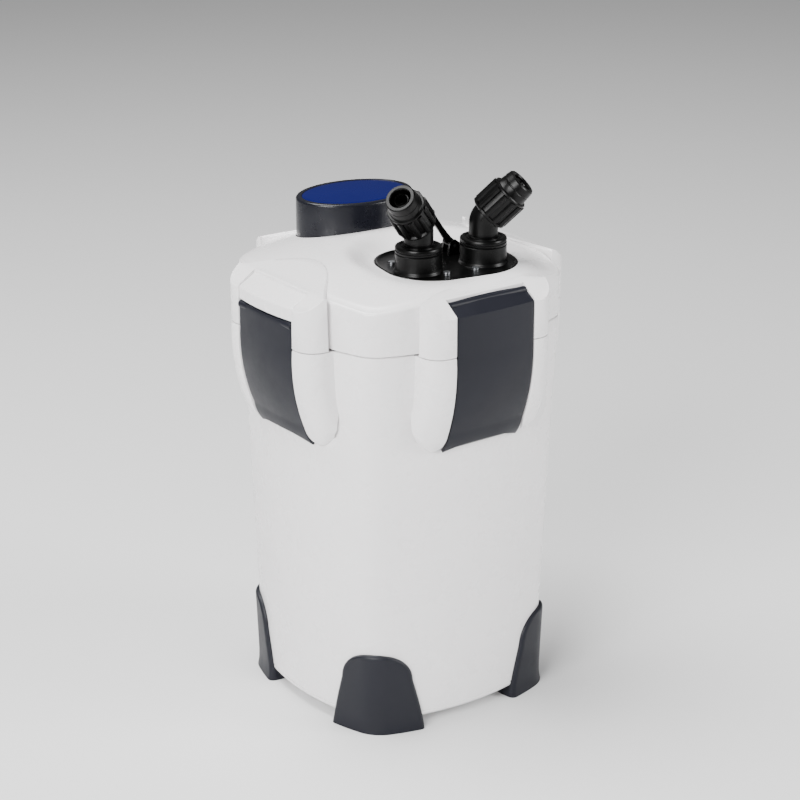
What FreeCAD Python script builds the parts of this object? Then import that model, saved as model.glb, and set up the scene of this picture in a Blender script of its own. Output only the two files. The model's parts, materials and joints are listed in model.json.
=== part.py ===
import FreeCAD, Part
import os
import re
import Sketcher

# Canister filter. Origin at the centre of the footprint, on the floor, +Z up, millimetres.
# The four latches face +X (right), +Y (back), -X (left) and -Y (front).

VALUES = {
    # bucket and head, a square with bowed sides; "mid" is the half width at the middle of a side
    "bow_centre": 125.5, "corner_round": 26, "base_z": 10, "split_z": 347, "split_mid": 120,
    "side_draft": 12.5, "wall": 4, "floor_thick": 5, "head_flare": 1, "head_wall": 3.5,
    "head_high": 64, "dome_radius": 400,
    # seal seat inside the bucket's mouth
    "seat_deep": 13, "seat_high": 6, "seat_wide": 5, "seal_high": 5.5, "plate_thick": 10,
    "plate_gap": 0.8,
    # feet
    "foot_high": 75, "foot_half": 39, "foot_thick": 4.5,
    # latches; "out" is the distance from the vertical centre line, "proud" the distance out of the wall
    "latch_proud": 20, "latch_half": 39.6, "latch_thick": 3, "latch_gap": 0.8, "bevel_high": 34,
    "latch_drop": 89, "tip_proud": 1.9, "barrel_radius": 3.5, "pin_radius": 1.5, "pin_gap": 0.06,
    "short_pivot_high": 19, "cover_gap": 0.8, "catch_drop": 21, "catch_high": 4, "catch_proud": 7,
    "catch_gap": 0.6, "hook_half": 15,
    # surround that frames each latch
    "cheek_wide": 24.4, "cheek_proud": 18, "cheek_drop": 93, "rim_deep": 38, "rim_high": 1.6,
    # tap block, in a frame of its own turned about Z
    "tap_x": 13.7, "tap_inset": 70.3, "tap_turn": -10, "tap_wide": 118, "tap_deep": 100,
    "tap_round": 42, "tap_sink": 14, "tap_thick": 3.5, "tap_rim": 1.6, "collar_x": 30.5,
    "collar_y": -9.5, "collar_radius": 20, "collar_high": 16, "ring_high": 6,
    "socket_radius": 15.4, "stub_radius": 14.5, "stub_deep": 11, "ball_radius": 7.5,
    "ball_gap": 0.2, "port_radius": 5.5, "ball_deep": 3,
    # hose elbows
    "neck_radius": 12.5, "bend_high": 38, "leg_radius": 8.6, "leg_length": 31, "leg_bore": 4.6,
    "barb_radius": 6.1, "barb_length": 13, "nut_start": 5, "nut_length": 27.5, "nut_radius": 18,
    "sleeve_length": 13, "sleeve_start_radius": 14.2, "sleeve_end_radius": 12.9, "mouth_radius": 8.8,
    "flute_radius": 1.6, "knee_gap": 0.8, "swivel_gap": 0.08,
    "left_heading": -155.2, "right_heading": -41.8,
    # release lever
    "lever_x": 17, "lever_y": 24, "lever_high": 8, "lever_length": 38, "lever_lean": 35,
    "lever_half": 4, "hub_radius": 4.5,
    # primer
    "button_x": 3.8, "button_inset": 49.4, "button_turn": -3.1, "button_long": 54.6,
    "button_short": 39.9, "button_proud": 23, "button_deep": 19, "button_wall": 2.5,
    "badge_inset": 5, "badge_thick": 1.2, "stem_radius": 8,
    "barrel_bore": 16, "barrel_wall": 2.5, "barrel_deep": 27, "piston_high": 8,
    # pump
    "pump_x": 0, "pump_y": 6, "can_radius": 20, "well_radius": 16.5, "can_deep": 21.5,
    "can_roof": 3, "magnet_radius": 13, "shaft_radius": 2.5, "shaft_gap": 0.06,
    "impeller_radius": 14, "cover_radius": 22, "cover_thick": 5.5, "bush_radius": 6,
    # baskets and media
    "basket_side_gap": 5.5, "basket_wall": 2, "basket_gap": 1.5, "basket_start": 17,
    "lid_room": 18.5, "tube_radius": 11, "tube_wall": 1.8, "sleeve_gap": 1.2, "sponge_room": 14,
    "floss_high": 30, "ring_radius": 6.5, "ring_thick": 3.2, "ring_pitch": 27, "ring_clear": 6.1,
    # cord outlet in the back right corner
    "gland_high": 19, "gland_radius": 7, "gland_bore": 3.5, "gland_sunk": 10, "gland_proud": 8,
}

# sizes and places that follow from the values above
DERIVED = {
    "base_mid": "split_mid - side_draft",
    "head_mid": "split_mid + head_flare",
    "dome_top": "split_z + head_high",
    "corner_out": "(sqrt(2 * (bow_centre + split_mid - corner_round) ^ 2 - bow_centre ^ 2)"
                  " - bow_centre) / sqrt(2) + corner_round",
    "seat_z": "split_z - seat_deep",
    "plate_low": "seat_z + seal_high",
    "plate_top": "plate_low + plate_thick",
    "latch_out": "split_mid + latch_proud",
    "bevel_z": "split_z + bevel_high",
    "latch_bend_z": "split_z - 2",
    "latch_tip_z": "split_z - latch_drop",
    "latch_tip_out": "split_mid - side_draft * latch_drop / (split_z - base_z) + tip_proud",
    "long_pivot_out": "split_mid + head_flare + barrel_radius - 0.2",
    "long_pivot_z": "bevel_z + 6.2",
    "short_pivot_out": "latch_out - barrel_radius - 1.1",
    "short_pivot_z": "split_z + short_pivot_high",
    "catch_z": "split_z - catch_drop",
    "catch_out": "split_mid + catch_proud",
    "cheek_half": "latch_half + cheek_wide",
    "cheek_out": "split_mid + cheek_proud",
    "cheek_low_z": "split_z - cheek_drop",
    "rim_out": "split_mid - rim_deep",
    "rim_z": "dome_top - rim_out ^ 2 / (2 * dome_radius) + rim_high",
    "tap_y": "tap_inset - split_mid",
    "tap_z": "dome_top - tap_sink",
    "stub_low_z": "tap_z - stub_deep",
    "ball_z": "tap_z - ball_deep",
    "bend_z": "tap_z + bend_high",
    "lever_z": "tap_z + lever_high",
    "button_y": "split_mid - button_inset",
    "button_top": "dome_top + button_proud",
    "button_low": "dome_top - button_deep",
    "barrel_top": "dome_top - barrel_deep",
    "can_top": "dome_top - can_deep",
    "basket_mid": "base_mid - wall - basket_side_gap",
    "basket_pitch": "(seat_z - seat_high - basket_start - lid_room) / 3",
    "basket_high": "basket_pitch - basket_gap",
    "sleeve_radius": "tube_radius + sleeve_gap",
    "sponge_high": "(basket_high - basket_wall - sponge_room) / 2",
    "boss_out": "split_mid - 47",
    "gland_z": "split_z + gland_high",
    "gland_start": "(corner_out - gland_sunk) / sqrt(2)",
}

doc = FreeCAD.newDocument("CanisterFilter")
sheet = doc.addObject("Spreadsheet::Sheet", "Values")
for row, (alias, number) in enumerate(VALUES.items(), start=1):
    sheet.set(f"A{row}", alias)
    sheet.set(f"B{row}", str(number))
    sheet.setAlias(f"B{row}", alias)
doc.recompute()

NODES = {}
X_AXIS = FreeCAD.Vector(1, 0, 0)
Y_AXIS = FreeCAD.Vector(0, 1, 0)
Z_AXIS = FreeCAD.Vector(0, 0, 1)


def linked(text):
    """Write each alias in an expression as a reference to its cell, and each derived size in full."""
    def reference(found):
        word = found[0]
        if word in DERIVED:
            return f"({linked(DERIVED[word])})"
        return f"Values.{word}" if word in VALUES else word
    return re.sub(r"[a-z_]{3,}", reference, str(text))


def value(text):
    return float(sheet.evalExpression(linked(text)))


def place(thing, x="0", y="0", z="0", axis=None, angle=0):
    if axis is not None:
        thing.Placement = FreeCAD.Placement(FreeCAD.Vector(), FreeCAD.Rotation(axis, value(angle)))
    for letter, text in zip("xyz", (x, y, z)):
        if str(text) != "0":
            thing.setExpression(f"Placement.Base.{letter}", linked(text))
    return thing


def sized(kind, name, sizes, **where):
    thing = doc.addObject(kind, name)
    for size, text in sizes.items():
        thing.setExpression(size, linked(text))
    return place(thing, **where)


def rod(name, radius, height, **where):
    return sized("Part::Cylinder", name, {"Radius": radius, "Height": height}, **where)


def box(name, x0, x1, y0, y1, z0, z1):
    sizes = {"Length": f"({x1}) - ({x0})", "Width": f"({y1}) - ({y0})", "Height": f"({z1}) - ({z0})"}
    return sized("Part::Box", name, sizes, x=x0, y=y0, z=z0)


def fuse(name, *things):
    joined = doc.addObject("Part::MultiFuse", name)
    joined.Shapes = list(things)
    return joined


def common(name, *things):
    shared = doc.addObject("Part::MultiCommon", name)
    shared.Shapes = list(things)
    return shared


def cut(name, base, *tools):
    left = doc.addObject("Part::Cut", name)
    left.Base = base
    left.Tool = tools[0] if len(tools) == 1 else fuse(f"{name}_tools", *tools)
    return left


def mirrored(name, source, normal):
    twin = doc.addObject("Part::Mirroring", name)
    twin.Source = source
    twin.Normal = normal
    return twin


def four_sides(name, source):
    """The source stands on the +X side; its mirror images stand on the other three."""
    back = mirrored(f"{name}_back", source, FreeCAD.Vector(1, -1, 0))
    left = mirrored(f"{name}_left", source, X_AXIS)
    front = mirrored(f"{name}_front", back, Y_AXIS)
    return [source, back, left, front]


def rounded(name, base, radius, wanted):
    """Fillet the edges of base for which wanted(edge) is true."""
    doc.recompute()
    fillet = doc.addObject("Part::Fillet", name)
    fillet.Base = base
    size = value(radius)
    edges = enumerate(base.Shape.Edges, start=1)
    fillet.Edges = [(number, size, size) for number, edge in edges if wanted(edge)]
    return fillet


def outline(name, points, plane="XY", sketch=None):
    """A closed sketch; a point's third value is the radius of the arc that leads to the next point,
    positive when it turns left."""
    if sketch is None:
        sketch = doc.addObject("Sketcher::SketchObject", name)
        if plane == "XZ":
            sketch.Placement = FreeCAD.Placement(FreeCAD.Vector(), FreeCAD.Rotation(X_AXIS, 90))
    spots = [FreeCAD.Vector(value(point[0]), value(point[1]), 0) for point in points]
    for number, point in enumerate(points):
        start, end = spots[number], spots[(number + 1) % len(spots)]
        if len(point) == 3:
            radius = value(point[2])
            chord = end - start
            side = FreeCAD.Vector(-chord.y, chord.x, 0).normalize() * (1 if radius > 0 else -1)
            centre = start + chord * 0.5 + side * (radius ** 2 - chord.Length ** 2 / 4) ** 0.5
            middle = centre - side * abs(radius)
            sketch.addGeometry(Part.Arc(start, middle, end), False)
        else:
            sketch.addGeometry(Part.LineSegment(start, end), False)

    def ends(number):
        """Point numbers of an edge's start and end; an arc that turns right is stored reversed."""
        return (2, 1) if len(points[number]) == 3 and value(points[number][2]) < 0 else (1, 2)

    for number, point in enumerate(points):
        following = (number + 1) % len(points)
        sketch.addConstraint(Sketcher.Constraint(
            "Coincident", number, ends(number)[1], following, ends(following)[0]))
    for number, point in enumerate(points):
        for kind, text, tag in (("DistanceX", point[0], "x"), ("DistanceY", point[1], "y")):
            bound = Sketcher.Constraint(kind, -1, 1, number, ends(number)[0], value(text))
            index = sketch.addConstraint(bound)
            sketch.renameConstraint(index, f"{tag}{number}")
            sketch.setExpression(f"Constraints.{tag}{number}", linked(text))
        if len(point) == 3:
            index = sketch.addConstraint(Sketcher.Constraint("Radius", number, abs(value(point[2]))))
            sketch.renameConstraint(index, f"radius{number}")
            sketch.setExpression(f"Constraints.radius{number}", linked(f"abs({point[2]})"))
    return sketch


def extruded(name, points, length, plane="XY", both=False, start="0"):
    solid = doc.addObject("Part::Extrusion", name)
    solid.Base = outline(f"{name}_outline", points, plane)
    solid.DirMode = "Normal"
    solid.setExpression("LengthFwd", linked(length))
    solid.Symmetric = both
    solid.Solid = True
    return place(solid, z=start)


def turned_body(name, points):
    """A body turned about Z from a half section of (radius, height) points."""
    body = doc.addObject("PartDesign::Body", name)
    sketch = body.newObject("Sketcher::SketchObject", f"{name}_section")
    plane = [item for item in body.Origin.OriginFeatures if item.Role == "XZ_Plane"][0]
    sketch.AttachmentSupport = (plane, [""])
    sketch.MapMode = "FlatFace"
    outline(name, points, sketch=sketch)
    doc.recompute()
    turn = body.newObject("PartDesign::Revolution", f"{name}_turn")
    turn.Profile = sketch
    turn.ReferenceAxis = (sketch, ["V_Axis"])
    turn.Angle = 360
    return body


def ring_body(name, inner, outer, low, high):
    return turned_body(name, [(inner, low), (outer, low), (outer, high), (inner, high)])


def upright(edge):
    return abs(edge.Vertexes[0].Z - edge.Vertexes[-1].Z) > 1


def bowed(name, low_mid, high_mid, low_z, high_z, corner):
    """A square block with bowed, drafted sides: what four wide cones have in common."""
    spots = ((1, 0), (0, 1), (-1, 0), (0, -1))
    cones = []
    for number, (x_side, y_side) in enumerate(spots):
        sizes = {"Radius1": f"bow_centre + {low_mid}", "Radius2": f"bow_centre + {high_mid}",
                 "Height": f"({high_z}) - ({low_z})"}
        cones.append(sized("Part::Cone", f"{name}_side{number}", sizes, x=f"bow_centre * {x_side}",
                           y=f"bow_centre * {y_side}", z=low_z))
    return rounded(name, common(f"{name}_sharp", *cones), corner, upright)


def node(name, thing):
    thing.Label = name
    NODES[name] = thing
    return thing


def at_tap(thing):
    """Move a finished piece of the tap block from its own frame to its place on the head."""
    return place(thing, x="tap_x", y="tap_y", axis=Z_AXIS, angle="tap_turn")


def mid_at(z):
    """Half width of the bucket's outside at a height."""
    return f"(base_mid + (split_mid - base_mid) * (({z}) - base_z) / (split_z - base_z))"


TURN = "cos(tap_turn)", "sin(tap_turn)"


def collar_place(side):
    across = f"collar_x * {side}"
    return (f"tap_x + ({across}) * {TURN[0]} - collar_y * {TURN[1]}",
            f"tap_y + ({across}) * {TURN[1]} + collar_y * {TURN[0]}")


# ---- surrounds, shared by bucket and head ----

def surround():
    side = extruded("surround_side", [
        ("rim_out - 10", "split_z - 40"), ("latch_tip_out - 6", "cheek_low_z - 4"),
        ("latch_tip_out - 3", "cheek_low_z - 2", "12"), ("latch_tip_out + 8", "cheek_low_z + 10", "60"),
        ("cheek_out - 3", "latch_bend_z - 40", "200"), ("cheek_out", "latch_bend_z"),
        ("cheek_out", "bevel_z - 1"), ("split_mid + 1", "bevel_z + 12.5"),
        ("rim_out", "rim_z"), ("rim_out - 10", "rim_z - rim_high")],
        "cheek_half * 2 + 20", "XZ", both=True)
    plan = extruded("surround_plan", [
        ("rim_out", "-26", "70"), ("rim_out + 24", "-cheek_half + 14", "60"),
        ("split_mid - 4", "-cheek_half"),
        ("cheek_out - 20", "-cheek_half", "21"), ("cheek_out + 0.5", "-cheek_half + 21"),
        ("cheek_out + 4", "-latch_half"), ("cheek_out + 4", "latch_half"),
        ("cheek_out + 0.5", "cheek_half - 21", "21"), ("cheek_out - 20", "cheek_half"),
        ("split_mid - 4", "cheek_half", "60"), ("rim_out + 24", "cheek_half - 14", "70"), ("rim_out", "26")],
        "200", start="cheek_low_z - 20")
    slot = box("surround_slot", "split_mid - 20", "latch_out + 20", "-latch_half - latch_gap",
               "latch_half + latch_gap", "cheek_low_z - 30", "dome_top")
    return cut("surround", common("surround_whole", side, plan), slot)


surrounds = four_sides("surround", surround())


# ---- latches ----

FACES = {"right": (0, "short"), "back": (90, "long"), "left": (180, "short"), "front": (270, "long")}


def blade_section(kind):
    """Side section of a latch blade in (out, z), for the long one with the bevel or the short one."""
    inner = "latch_out - latch_thick"
    lower = [(inner, "latch_bend_z", "-162"), ("latch_tip_out + 6", "latch_tip_z + 19", "-34"),
             ("latch_tip_out - 2.4", "latch_tip_z + 1"), ("latch_tip_out", "latch_tip_z - 1", "37"),
             ("latch_tip_out + 9.2", "latch_tip_z + 17.6", "165"), ("latch_out", "latch_bend_z")]
    if kind == "long":
        return lower + [("latch_out", "bevel_z"), ("long_pivot_out + 1.4", "long_pivot_z + 3"),
                        ("long_pivot_out", "long_pivot_z - 3"), (inner, "bevel_z - 3")]
    return lower + [("latch_out", "short_pivot_z"), (inner, "short_pivot_z")]


def latch(face, angle, kind):
    name = f"latch_{face}"
    pivot_out, pivot_z = f"{kind}_pivot_out", f"{kind}_pivot_z"
    section = extruded(f"{name}_section", blade_section(kind), "latch_half * 2", "XZ", both=True)
    barrel = rod(f"{name}_barrel", "barrel_radius", "latch_half * 2", x=pivot_out, y="latch_half",
                 z=pivot_z, axis=X_AXIS, angle="90")
    front = extruded(f"{name}_front", [
        ("-latch_half", "dome_top"), ("-latch_half", "latch_bend_z"), ("-latch_half + 3", "latch_tip_z - 2"),
        ("-latch_half + 8", "latch_tip_z", "-150"), ("latch_half - 8", "latch_tip_z"),
        ("latch_half - 3", "latch_tip_z - 2"), ("latch_half", "latch_bend_z"), ("latch_half", "dome_top")],
        "latch_out * 2", "XZ")
    front.Placement = FreeCAD.Placement(FreeCAD.Vector(), FreeCAD.Rotation(Z_AXIS, 90))
    solid = common(f"{name}_trimmed", fuse(f"{name}_joined", section, barrel), front)
    hole = rod(f"{name}_hole", "pin_radius + pin_gap", "latch_half * 2 + 4", x=pivot_out,
               y="latch_half + 2", z=pivot_z, axis=X_AXIS, angle="90")
    place(node(name, cut(f"{name}_lever", solid, hole)), axis=Z_AXIS, angle=angle)
    claw = extruded(f"{name}_claw", [
        ("split_mid + 2", "catch_z - catch_gap - 5"),
        ("latch_out - latch_thick - 1", "catch_z - catch_gap - 16"),
        ("latch_out - latch_thick - 0.9", "catch_z + 12"), ("catch_out + 3.4", "catch_z + 12"),
        ("catch_out + 2", "catch_z - catch_gap"), ("split_mid + 2", "catch_z - catch_gap")],
        "hook_half * 2", "XZ", both=True)
    place(node(f"{name}_hook", cut(f"{name}_hook_cut", claw, section)), axis=Z_AXIS, angle=angle)
    pin = rod(f"{name}_pin_rod", "pin_radius", "latch_half * 2 + 12", x=pivot_out, y="latch_half + 6",
              z=pivot_z, axis=X_AXIS, angle="90")
    return place(fuse(f"{name}_pin", pin, rod(
        f"{name}_pin_core", "pin_radius / 2", "latch_half", x=pivot_out, y="latch_half / 2",
        z=pivot_z, axis=X_AXIS, angle="90")), axis=Z_AXIS, angle=angle)


def group(name, things):
    """Identical small pieces that share one node, each a solid of its own."""
    gathered = doc.addObject("Part::Compound", f"{name}_group")
    gathered.Links = things
    return node(name, gathered)


group("latch_pins", [latch(face, str(angle), kind) for face, (angle, kind) in FACES.items()])


def latch_cover(face, angle):
    low = "short_pivot_z + barrel_radius + cover_gap"
    edge = "latch_out - 0.5"
    cap = extruded(f"cover_{face}", [
        ("head_mid + 0.05", "bevel_z + 10.3"), ("head_mid + 0.05", "bevel_z + 7"),
        (f"{edge} - 2.6", "bevel_z - 2"), (f"{edge} - 2.6", low), (edge, low), (edge, "bevel_z")],
        "latch_half * 2 + latch_gap * 2", "XZ", both=True)
    place(node(f"latch_cover_{face}", cut(f"cover_{face}_cut", cap, box(
        f"cover_{face}_recess", "latch_out - 6", "latch_out - 4", "-5", "5", low, f"{low} + 1"))),
        axis=Z_AXIS, angle=angle)


latch_cover("right", "0")
latch_cover("left", "180")


def pin_holes(name):
    """Holes in the cheeks for the four latch pins."""
    holes = []
    for face, (angle, kind) in FACES.items():
        hole = rod(f"{name}_{face}_rod", "pin_radius", "latch_half * 2 + 12", x=f"{kind}_pivot_out",
                   y="latch_half + 6", z=f"{kind}_pivot_z", axis=X_AXIS, angle="90")
        holder = fuse(f"{name}_{face}", hole, rod(
            f"{name}_{face}_core", "pin_radius / 2", "latch_half", x=f"{kind}_pivot_out",
            y="latch_half / 2", z=f"{kind}_pivot_z", axis=X_AXIS, angle="90"))
        holes.append(place(holder, axis=Z_AXIS, angle=str(angle)))
    return holes


# ---- bucket, feet and seal ----

def bucket():
    outside = bowed("bucket_outside", "base_mid", "split_mid", "base_z", "split_z", "corner_round")
    cheeks = common("bucket_cheeks", fuse("bucket_surrounds", *surrounds),
                    box("below_split", "-200", "200", "-200", "200", "0", "split_z"))
    catch = box("catch", "split_mid - 6", "catch_out", "-hook_half - 3", "hook_half + 3", "catch_z",
                "catch_z + catch_high")
    inside = bowed("bucket_inside", f"{mid_at('base_z + floor_thick')} - wall",
                   f"{mid_at('seat_z - seat_high')} - wall", "base_z + floor_thick",
                   "seat_z - seat_high", "corner_round - wall")
    mouth = bowed("bucket_mouth", f"{mid_at('seat_z')} - wall", "split_mid - wall", "seat_z",
                  "split_z + 10", "corner_round - wall")
    throat = bowed("bucket_throat", "split_mid - wall - seat_wide", "split_mid - wall - seat_wide",
                   "seat_z - seat_high - 1", "seat_z + 1", "corner_round - wall")
    solid = fuse("bucket_solid", outside, cheeks, *four_sides("catch", catch))
    node("bucket", cut("bucket_cut", solid, inside, mouth, throat))
    return outside


bucket_outside = bucket()


def feet():
    jacket = bowed("foot_jacket", "base_mid + foot_thick", f"{mid_at('foot_high')} + foot_thick - 1.5",
                   "0", "foot_high + 1", "corner_round + foot_thick")
    for number, name in enumerate(("back_right", "back_left", "front_left", "front_right")):
        arch = extruded(f"foot_{name}_arch", [
            ("-foot_half", "0"), ("foot_half", "0"), ("foot_half - 3", "foot_high - 46", "52"),
            ("foot_half - 22", "foot_high - 3", "60"), ("-foot_half + 22", "foot_high - 3", "52"),
            ("-foot_half + 3", "foot_high - 46")], "split_mid * 1.5", "XZ")
        turn = FreeCAD.Rotation(Z_AXIS, 135 + 90 * number)
        arch.Placement = FreeCAD.Placement(FreeCAD.Vector(), turn)
        pad = common(f"foot_{name}_pad", jacket, arch)
        far = rod(f"foot_{name}_core", "base_mid - 18", "foot_high + 4", z="-1")
        node(f"foot_{name}", cut(f"foot_{name}_cut", pad, bucket_outside, far))


feet()


def hollow_ring(name, outer_mid, inner_mid, low, high, corner):
    outer = bowed(f"{name}_outer", outer_mid, outer_mid, low, high, corner)
    inner = bowed(f"{name}_inner", inner_mid, inner_mid, f"{low} - 1", f"{high} + 1", f"{corner} - 3")
    return cut(f"{name}_ring", outer, inner)


node("main_seal", hollow_ring("main_seal", "split_mid - wall - plate_gap",
                              "split_mid - wall - seat_wide + 0.5", "seat_z", "plate_low",
                              "corner_round - wall"))


# ---- head shell ----

def tap_outline(name, grow, low, high):
    """A rounded rectangle in the tap block's frame."""
    half_x, half_y = f"(tap_wide / 2 + {grow})", f"(tap_deep / 2 + {grow})"
    across, deep, turn = f"({half_x} - tap_round)", f"({half_y} - tap_round)", "tap_round"
    points = [(f"-{across}", f"-{half_y}"), (across, f"-{half_y}", turn), (half_x, f"-{deep}"),
              (half_x, deep, turn), (across, half_y), (f"-{across}", half_y, turn),
              (f"-{half_x}", deep), (f"-{half_x}", f"-{deep}", turn)]
    return extruded(name, points, f"({high}) - ({low})", start=low)


def oval(name, grow, low, high):
    """An upright oval in the primer button's frame, moved to its place."""
    sizes = {"MajorRadius": f"button_long + ({grow})", "MinorRadius": f"button_short + ({grow})"}
    solid = doc.addObject("Part::Extrusion", name)
    solid.Base = sized("Part::Ellipse", f"{name}_edge", sizes)
    solid.DirMode = "Custom"
    solid.Dir = Z_AXIS
    solid.setExpression("LengthFwd", linked(f"({high}) - ({low})"))
    solid.Solid = True
    return place(solid, x="button_x", y="button_y", z=low, axis=Z_AXIS, angle="button_turn")


CORNERS = ((1, 1), (-1, 1), (-1, -1), (1, -1))


def head_shell():
    block = bowed("head_block", "split_mid", "head_mid", "split_z", "dome_top + 5", "corner_round")
    dome = sized("Part::Sphere", "head_dome", {"Radius": "dome_radius"}, z="dome_top - dome_radius")
    crown = common("head_crown", block, dome)
    cheeks = common("head_cheeks", fuse("head_surrounds", *surrounds),
                    box("above_split", "-200", "200", "-200", "200", "split_z", "dome_top + 20"))
    hollow = common("head_hollow", bowed("head_inner", "split_mid - head_wall", "head_mid - head_wall",
                                         "split_z - 1", "dome_top + 5", "corner_round - head_wall"),
                    sized("Part::Sphere", "head_inner_dome", {"Radius": "dome_radius - head_wall"},
                          z="dome_top - dome_radius"))
    shell = cut("head_walls", fuse("head_solid", crown, cheeks), hollow)
    pad = at_tap(fuse("tap_pad", tap_outline("tap_pad_plate", "2", "tap_z - tap_thick - 3", "dome_top + 5"),
                      tap_outline("tap_pad_core", "-10", "tap_z - tap_thick - 3", "tap_z - 2")))
    pad_inside = common("tap_pad_inside", pad, crown)
    bosses = [rod(f"boss_{number}", "6", "dome_top - 14 - plate_top",
                  x=f"boss_out * {x_side}", y=f"boss_out * {y_side}",
                  z="plate_top")
              for number, (x_side, y_side) in enumerate(CORNERS)]
    solid = fuse("head_filled", shell, pad_inside, *bosses)
    stub_holes = [rod(f"tap_pocket_stub{side}", "stub_radius + 0.4", "60", x=f"collar_x * {side}",
                      y="collar_y", z="tap_z - 30") for side in (-1, 1)]
    pocket_plate = tap_outline("tap_pocket_plate", "0.3", "tap_z - tap_thick", "dome_top + 9")
    pocket = at_tap(fuse("tap_pocket", pocket_plate, *stub_holes))
    button_hole = oval("button_hole", "0.5", "button_low - 20", "dome_top + 9")
    screw_bores = [rod(f"boss_bore_{number}", "2", "20", x=f"boss_out * {x_side}",
                       y=f"boss_out * {y_side}", z="plate_top - 1")
                   for number, (x_side, y_side) in enumerate(CORNERS)]
    gland_hole = rod("gland_hole", "gland_radius", "60", x="gland_start - 10",
                     y="gland_start - 10", z="gland_z",
                     axis=FreeCAD.Vector(-1, 1, 0), angle="90")
    node("head_shell", cut("head_cut", solid, pocket, button_hole, gland_hole, *screw_bores,
                           *pin_holes("pin_hole")))


head_shell()


# ---- head base and pump ----

def head_base():
    plate = bowed("base_plate", "split_mid - wall - plate_gap", "split_mid - wall - plate_gap", "plate_low",
                  "plate_top", "corner_round - wall")
    can = rod("can", "can_radius", f"can_top - plate_top + 1", x="pump_x", y="pump_y",
              z=f"plate_top - 1")
    well = rod("well", "well_radius", f"can_top - can_roof - plate_low + 1", x="pump_x", y="pump_y",
               z=f"plate_low - 1")
    ports, bores = [], []
    for number, side in enumerate((-1, 1)):
        x, y = collar_place(side)
        ports.append(rod(f"port_{number}", "tube_radius", f"stub_low_z - 3 - plate_top + 1", x=x, y=y,
                         z=f"plate_top - 1"))
        bores.append(rod(f"port_bore_{number}", "tube_radius - 3", "60", x=x, y=y, z=f"plate_low - 1"))
    barrel = rod("primer_barrel", "barrel_bore + barrel_wall", f"barrel_top - plate_top + 1",
                 x="button_x", y="button_y", z=f"plate_top - 1")
    barrel_bore = rod("primer_bore", "barrel_bore", "60", x="button_x", y="button_y", z="plate_top")
    drain = rod("primer_drain", "5", "30", x="button_x", y="button_y", z=f"plate_low - 1")
    holes = [rod(f"base_hole_{number}", "2.3", "30", x=f"boss_out * {x_side}",
                 y=f"boss_out * {y_side}", z=f"plate_low - 5")
             for number, (x_side, y_side) in enumerate(CORNERS)]
    socket = rod("tube_socket", "tube_radius", "4", x=collar_place(-1)[0], y=collar_place(-1)[1],
                 z=f"plate_low - 0.5")
    solid = fuse("base_solid", plate, can, *ports, barrel)
    node("head_base", cut("base_cut", solid, well, *bores, barrel_bore, drain, socket, *holes))


head_base()


def head_screws():
    screws = []
    for number, (x_side, y_side) in enumerate(CORNERS):
        x, y = f"boss_out * {x_side}", f"boss_out * {y_side}"
        shank = rod(f"screw_shank_{number}", "2", "24", x=x, y=y, z=f"plate_low - 2")
        cap = rod(f"screw_cap_{number}", "4.5", "3", x=x, y=y, z=f"plate_low - 3")
        screws.append(fuse(f"screw_{number}", shank, cap))
    group("head_screws", screws)


head_screws()


def at_pump(thing):
    return place(thing, x="pump_x", y="pump_y")


def pump():
    shaft_hole = "shaft_radius + shaft_gap"
    low = "plate_low"
    cover_low = f"({low}) - cover_thick"
    node("rotor_shaft", at_pump(turned_body("rotor_shaft", [
        ("0", f"{cover_low} + 1"), ("shaft_radius", f"{cover_low} + 1"),
        ("shaft_radius", "can_top - can_roof - 0.3"), ("0", "can_top - can_roof - 0.3")])))
    node("upper_bush", at_pump(ring_body("upper_bush", "shaft_radius", "bush_radius",
                                         "can_top - can_roof - 3", "can_top - can_roof")))
    node("lower_bush", at_pump(ring_body("lower_bush", "shaft_radius", "bush_radius",
                                         f"{cover_low} + 1", low)))
    node("rotor_magnet", at_pump(ring_body("rotor_magnet", shaft_hole, "magnet_radius",
                                           f"({low}) + 9", "can_top - can_roof - 4")))
    hub = ring_body("impeller_hub", shaft_hole, "shaft_radius + 3.5", f"({low}) + 1", f"({low}) + 9")
    disc = ring_body("impeller_disc", shaft_hole, "impeller_radius", f"({low}) + 7.5", f"({low}) + 9")
    vanes = []
    for number in range(6):
        vane = box(f"vane_{number}", "shaft_radius + 2", "impeller_radius - 0.5", "-0.8", "0.8",
                   f"({low}) + 1", f"({low}) + 8")
        holder = fuse(f"vane_{number}_turn", vane, box(
            f"vane_{number}_root", "shaft_radius + 2", "shaft_radius + 4", "-0.8", "0.8",
            f"({low}) + 1", f"({low}) + 8"))
        vanes.append(place(holder, axis=Z_AXIS, angle=str(60 * number)))
    node("impeller", at_pump(fuse("impeller_fuse", hub, disc, *vanes)))
    plate = ring_body("cover_plate", "bush_radius", "cover_radius", cover_low, low)
    inlets = [rod(f"cover_inlet_{number}", "3.4", "20", x=f"11.5 * cos({number * 60})",
                  y=f"11.5 * sin({number * 60})", z=f"{cover_low} - 2") for number in range(6)]
    node("impeller_cover", at_pump(cut("impeller_cover_cut", plate, *inlets)))


pump()


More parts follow.
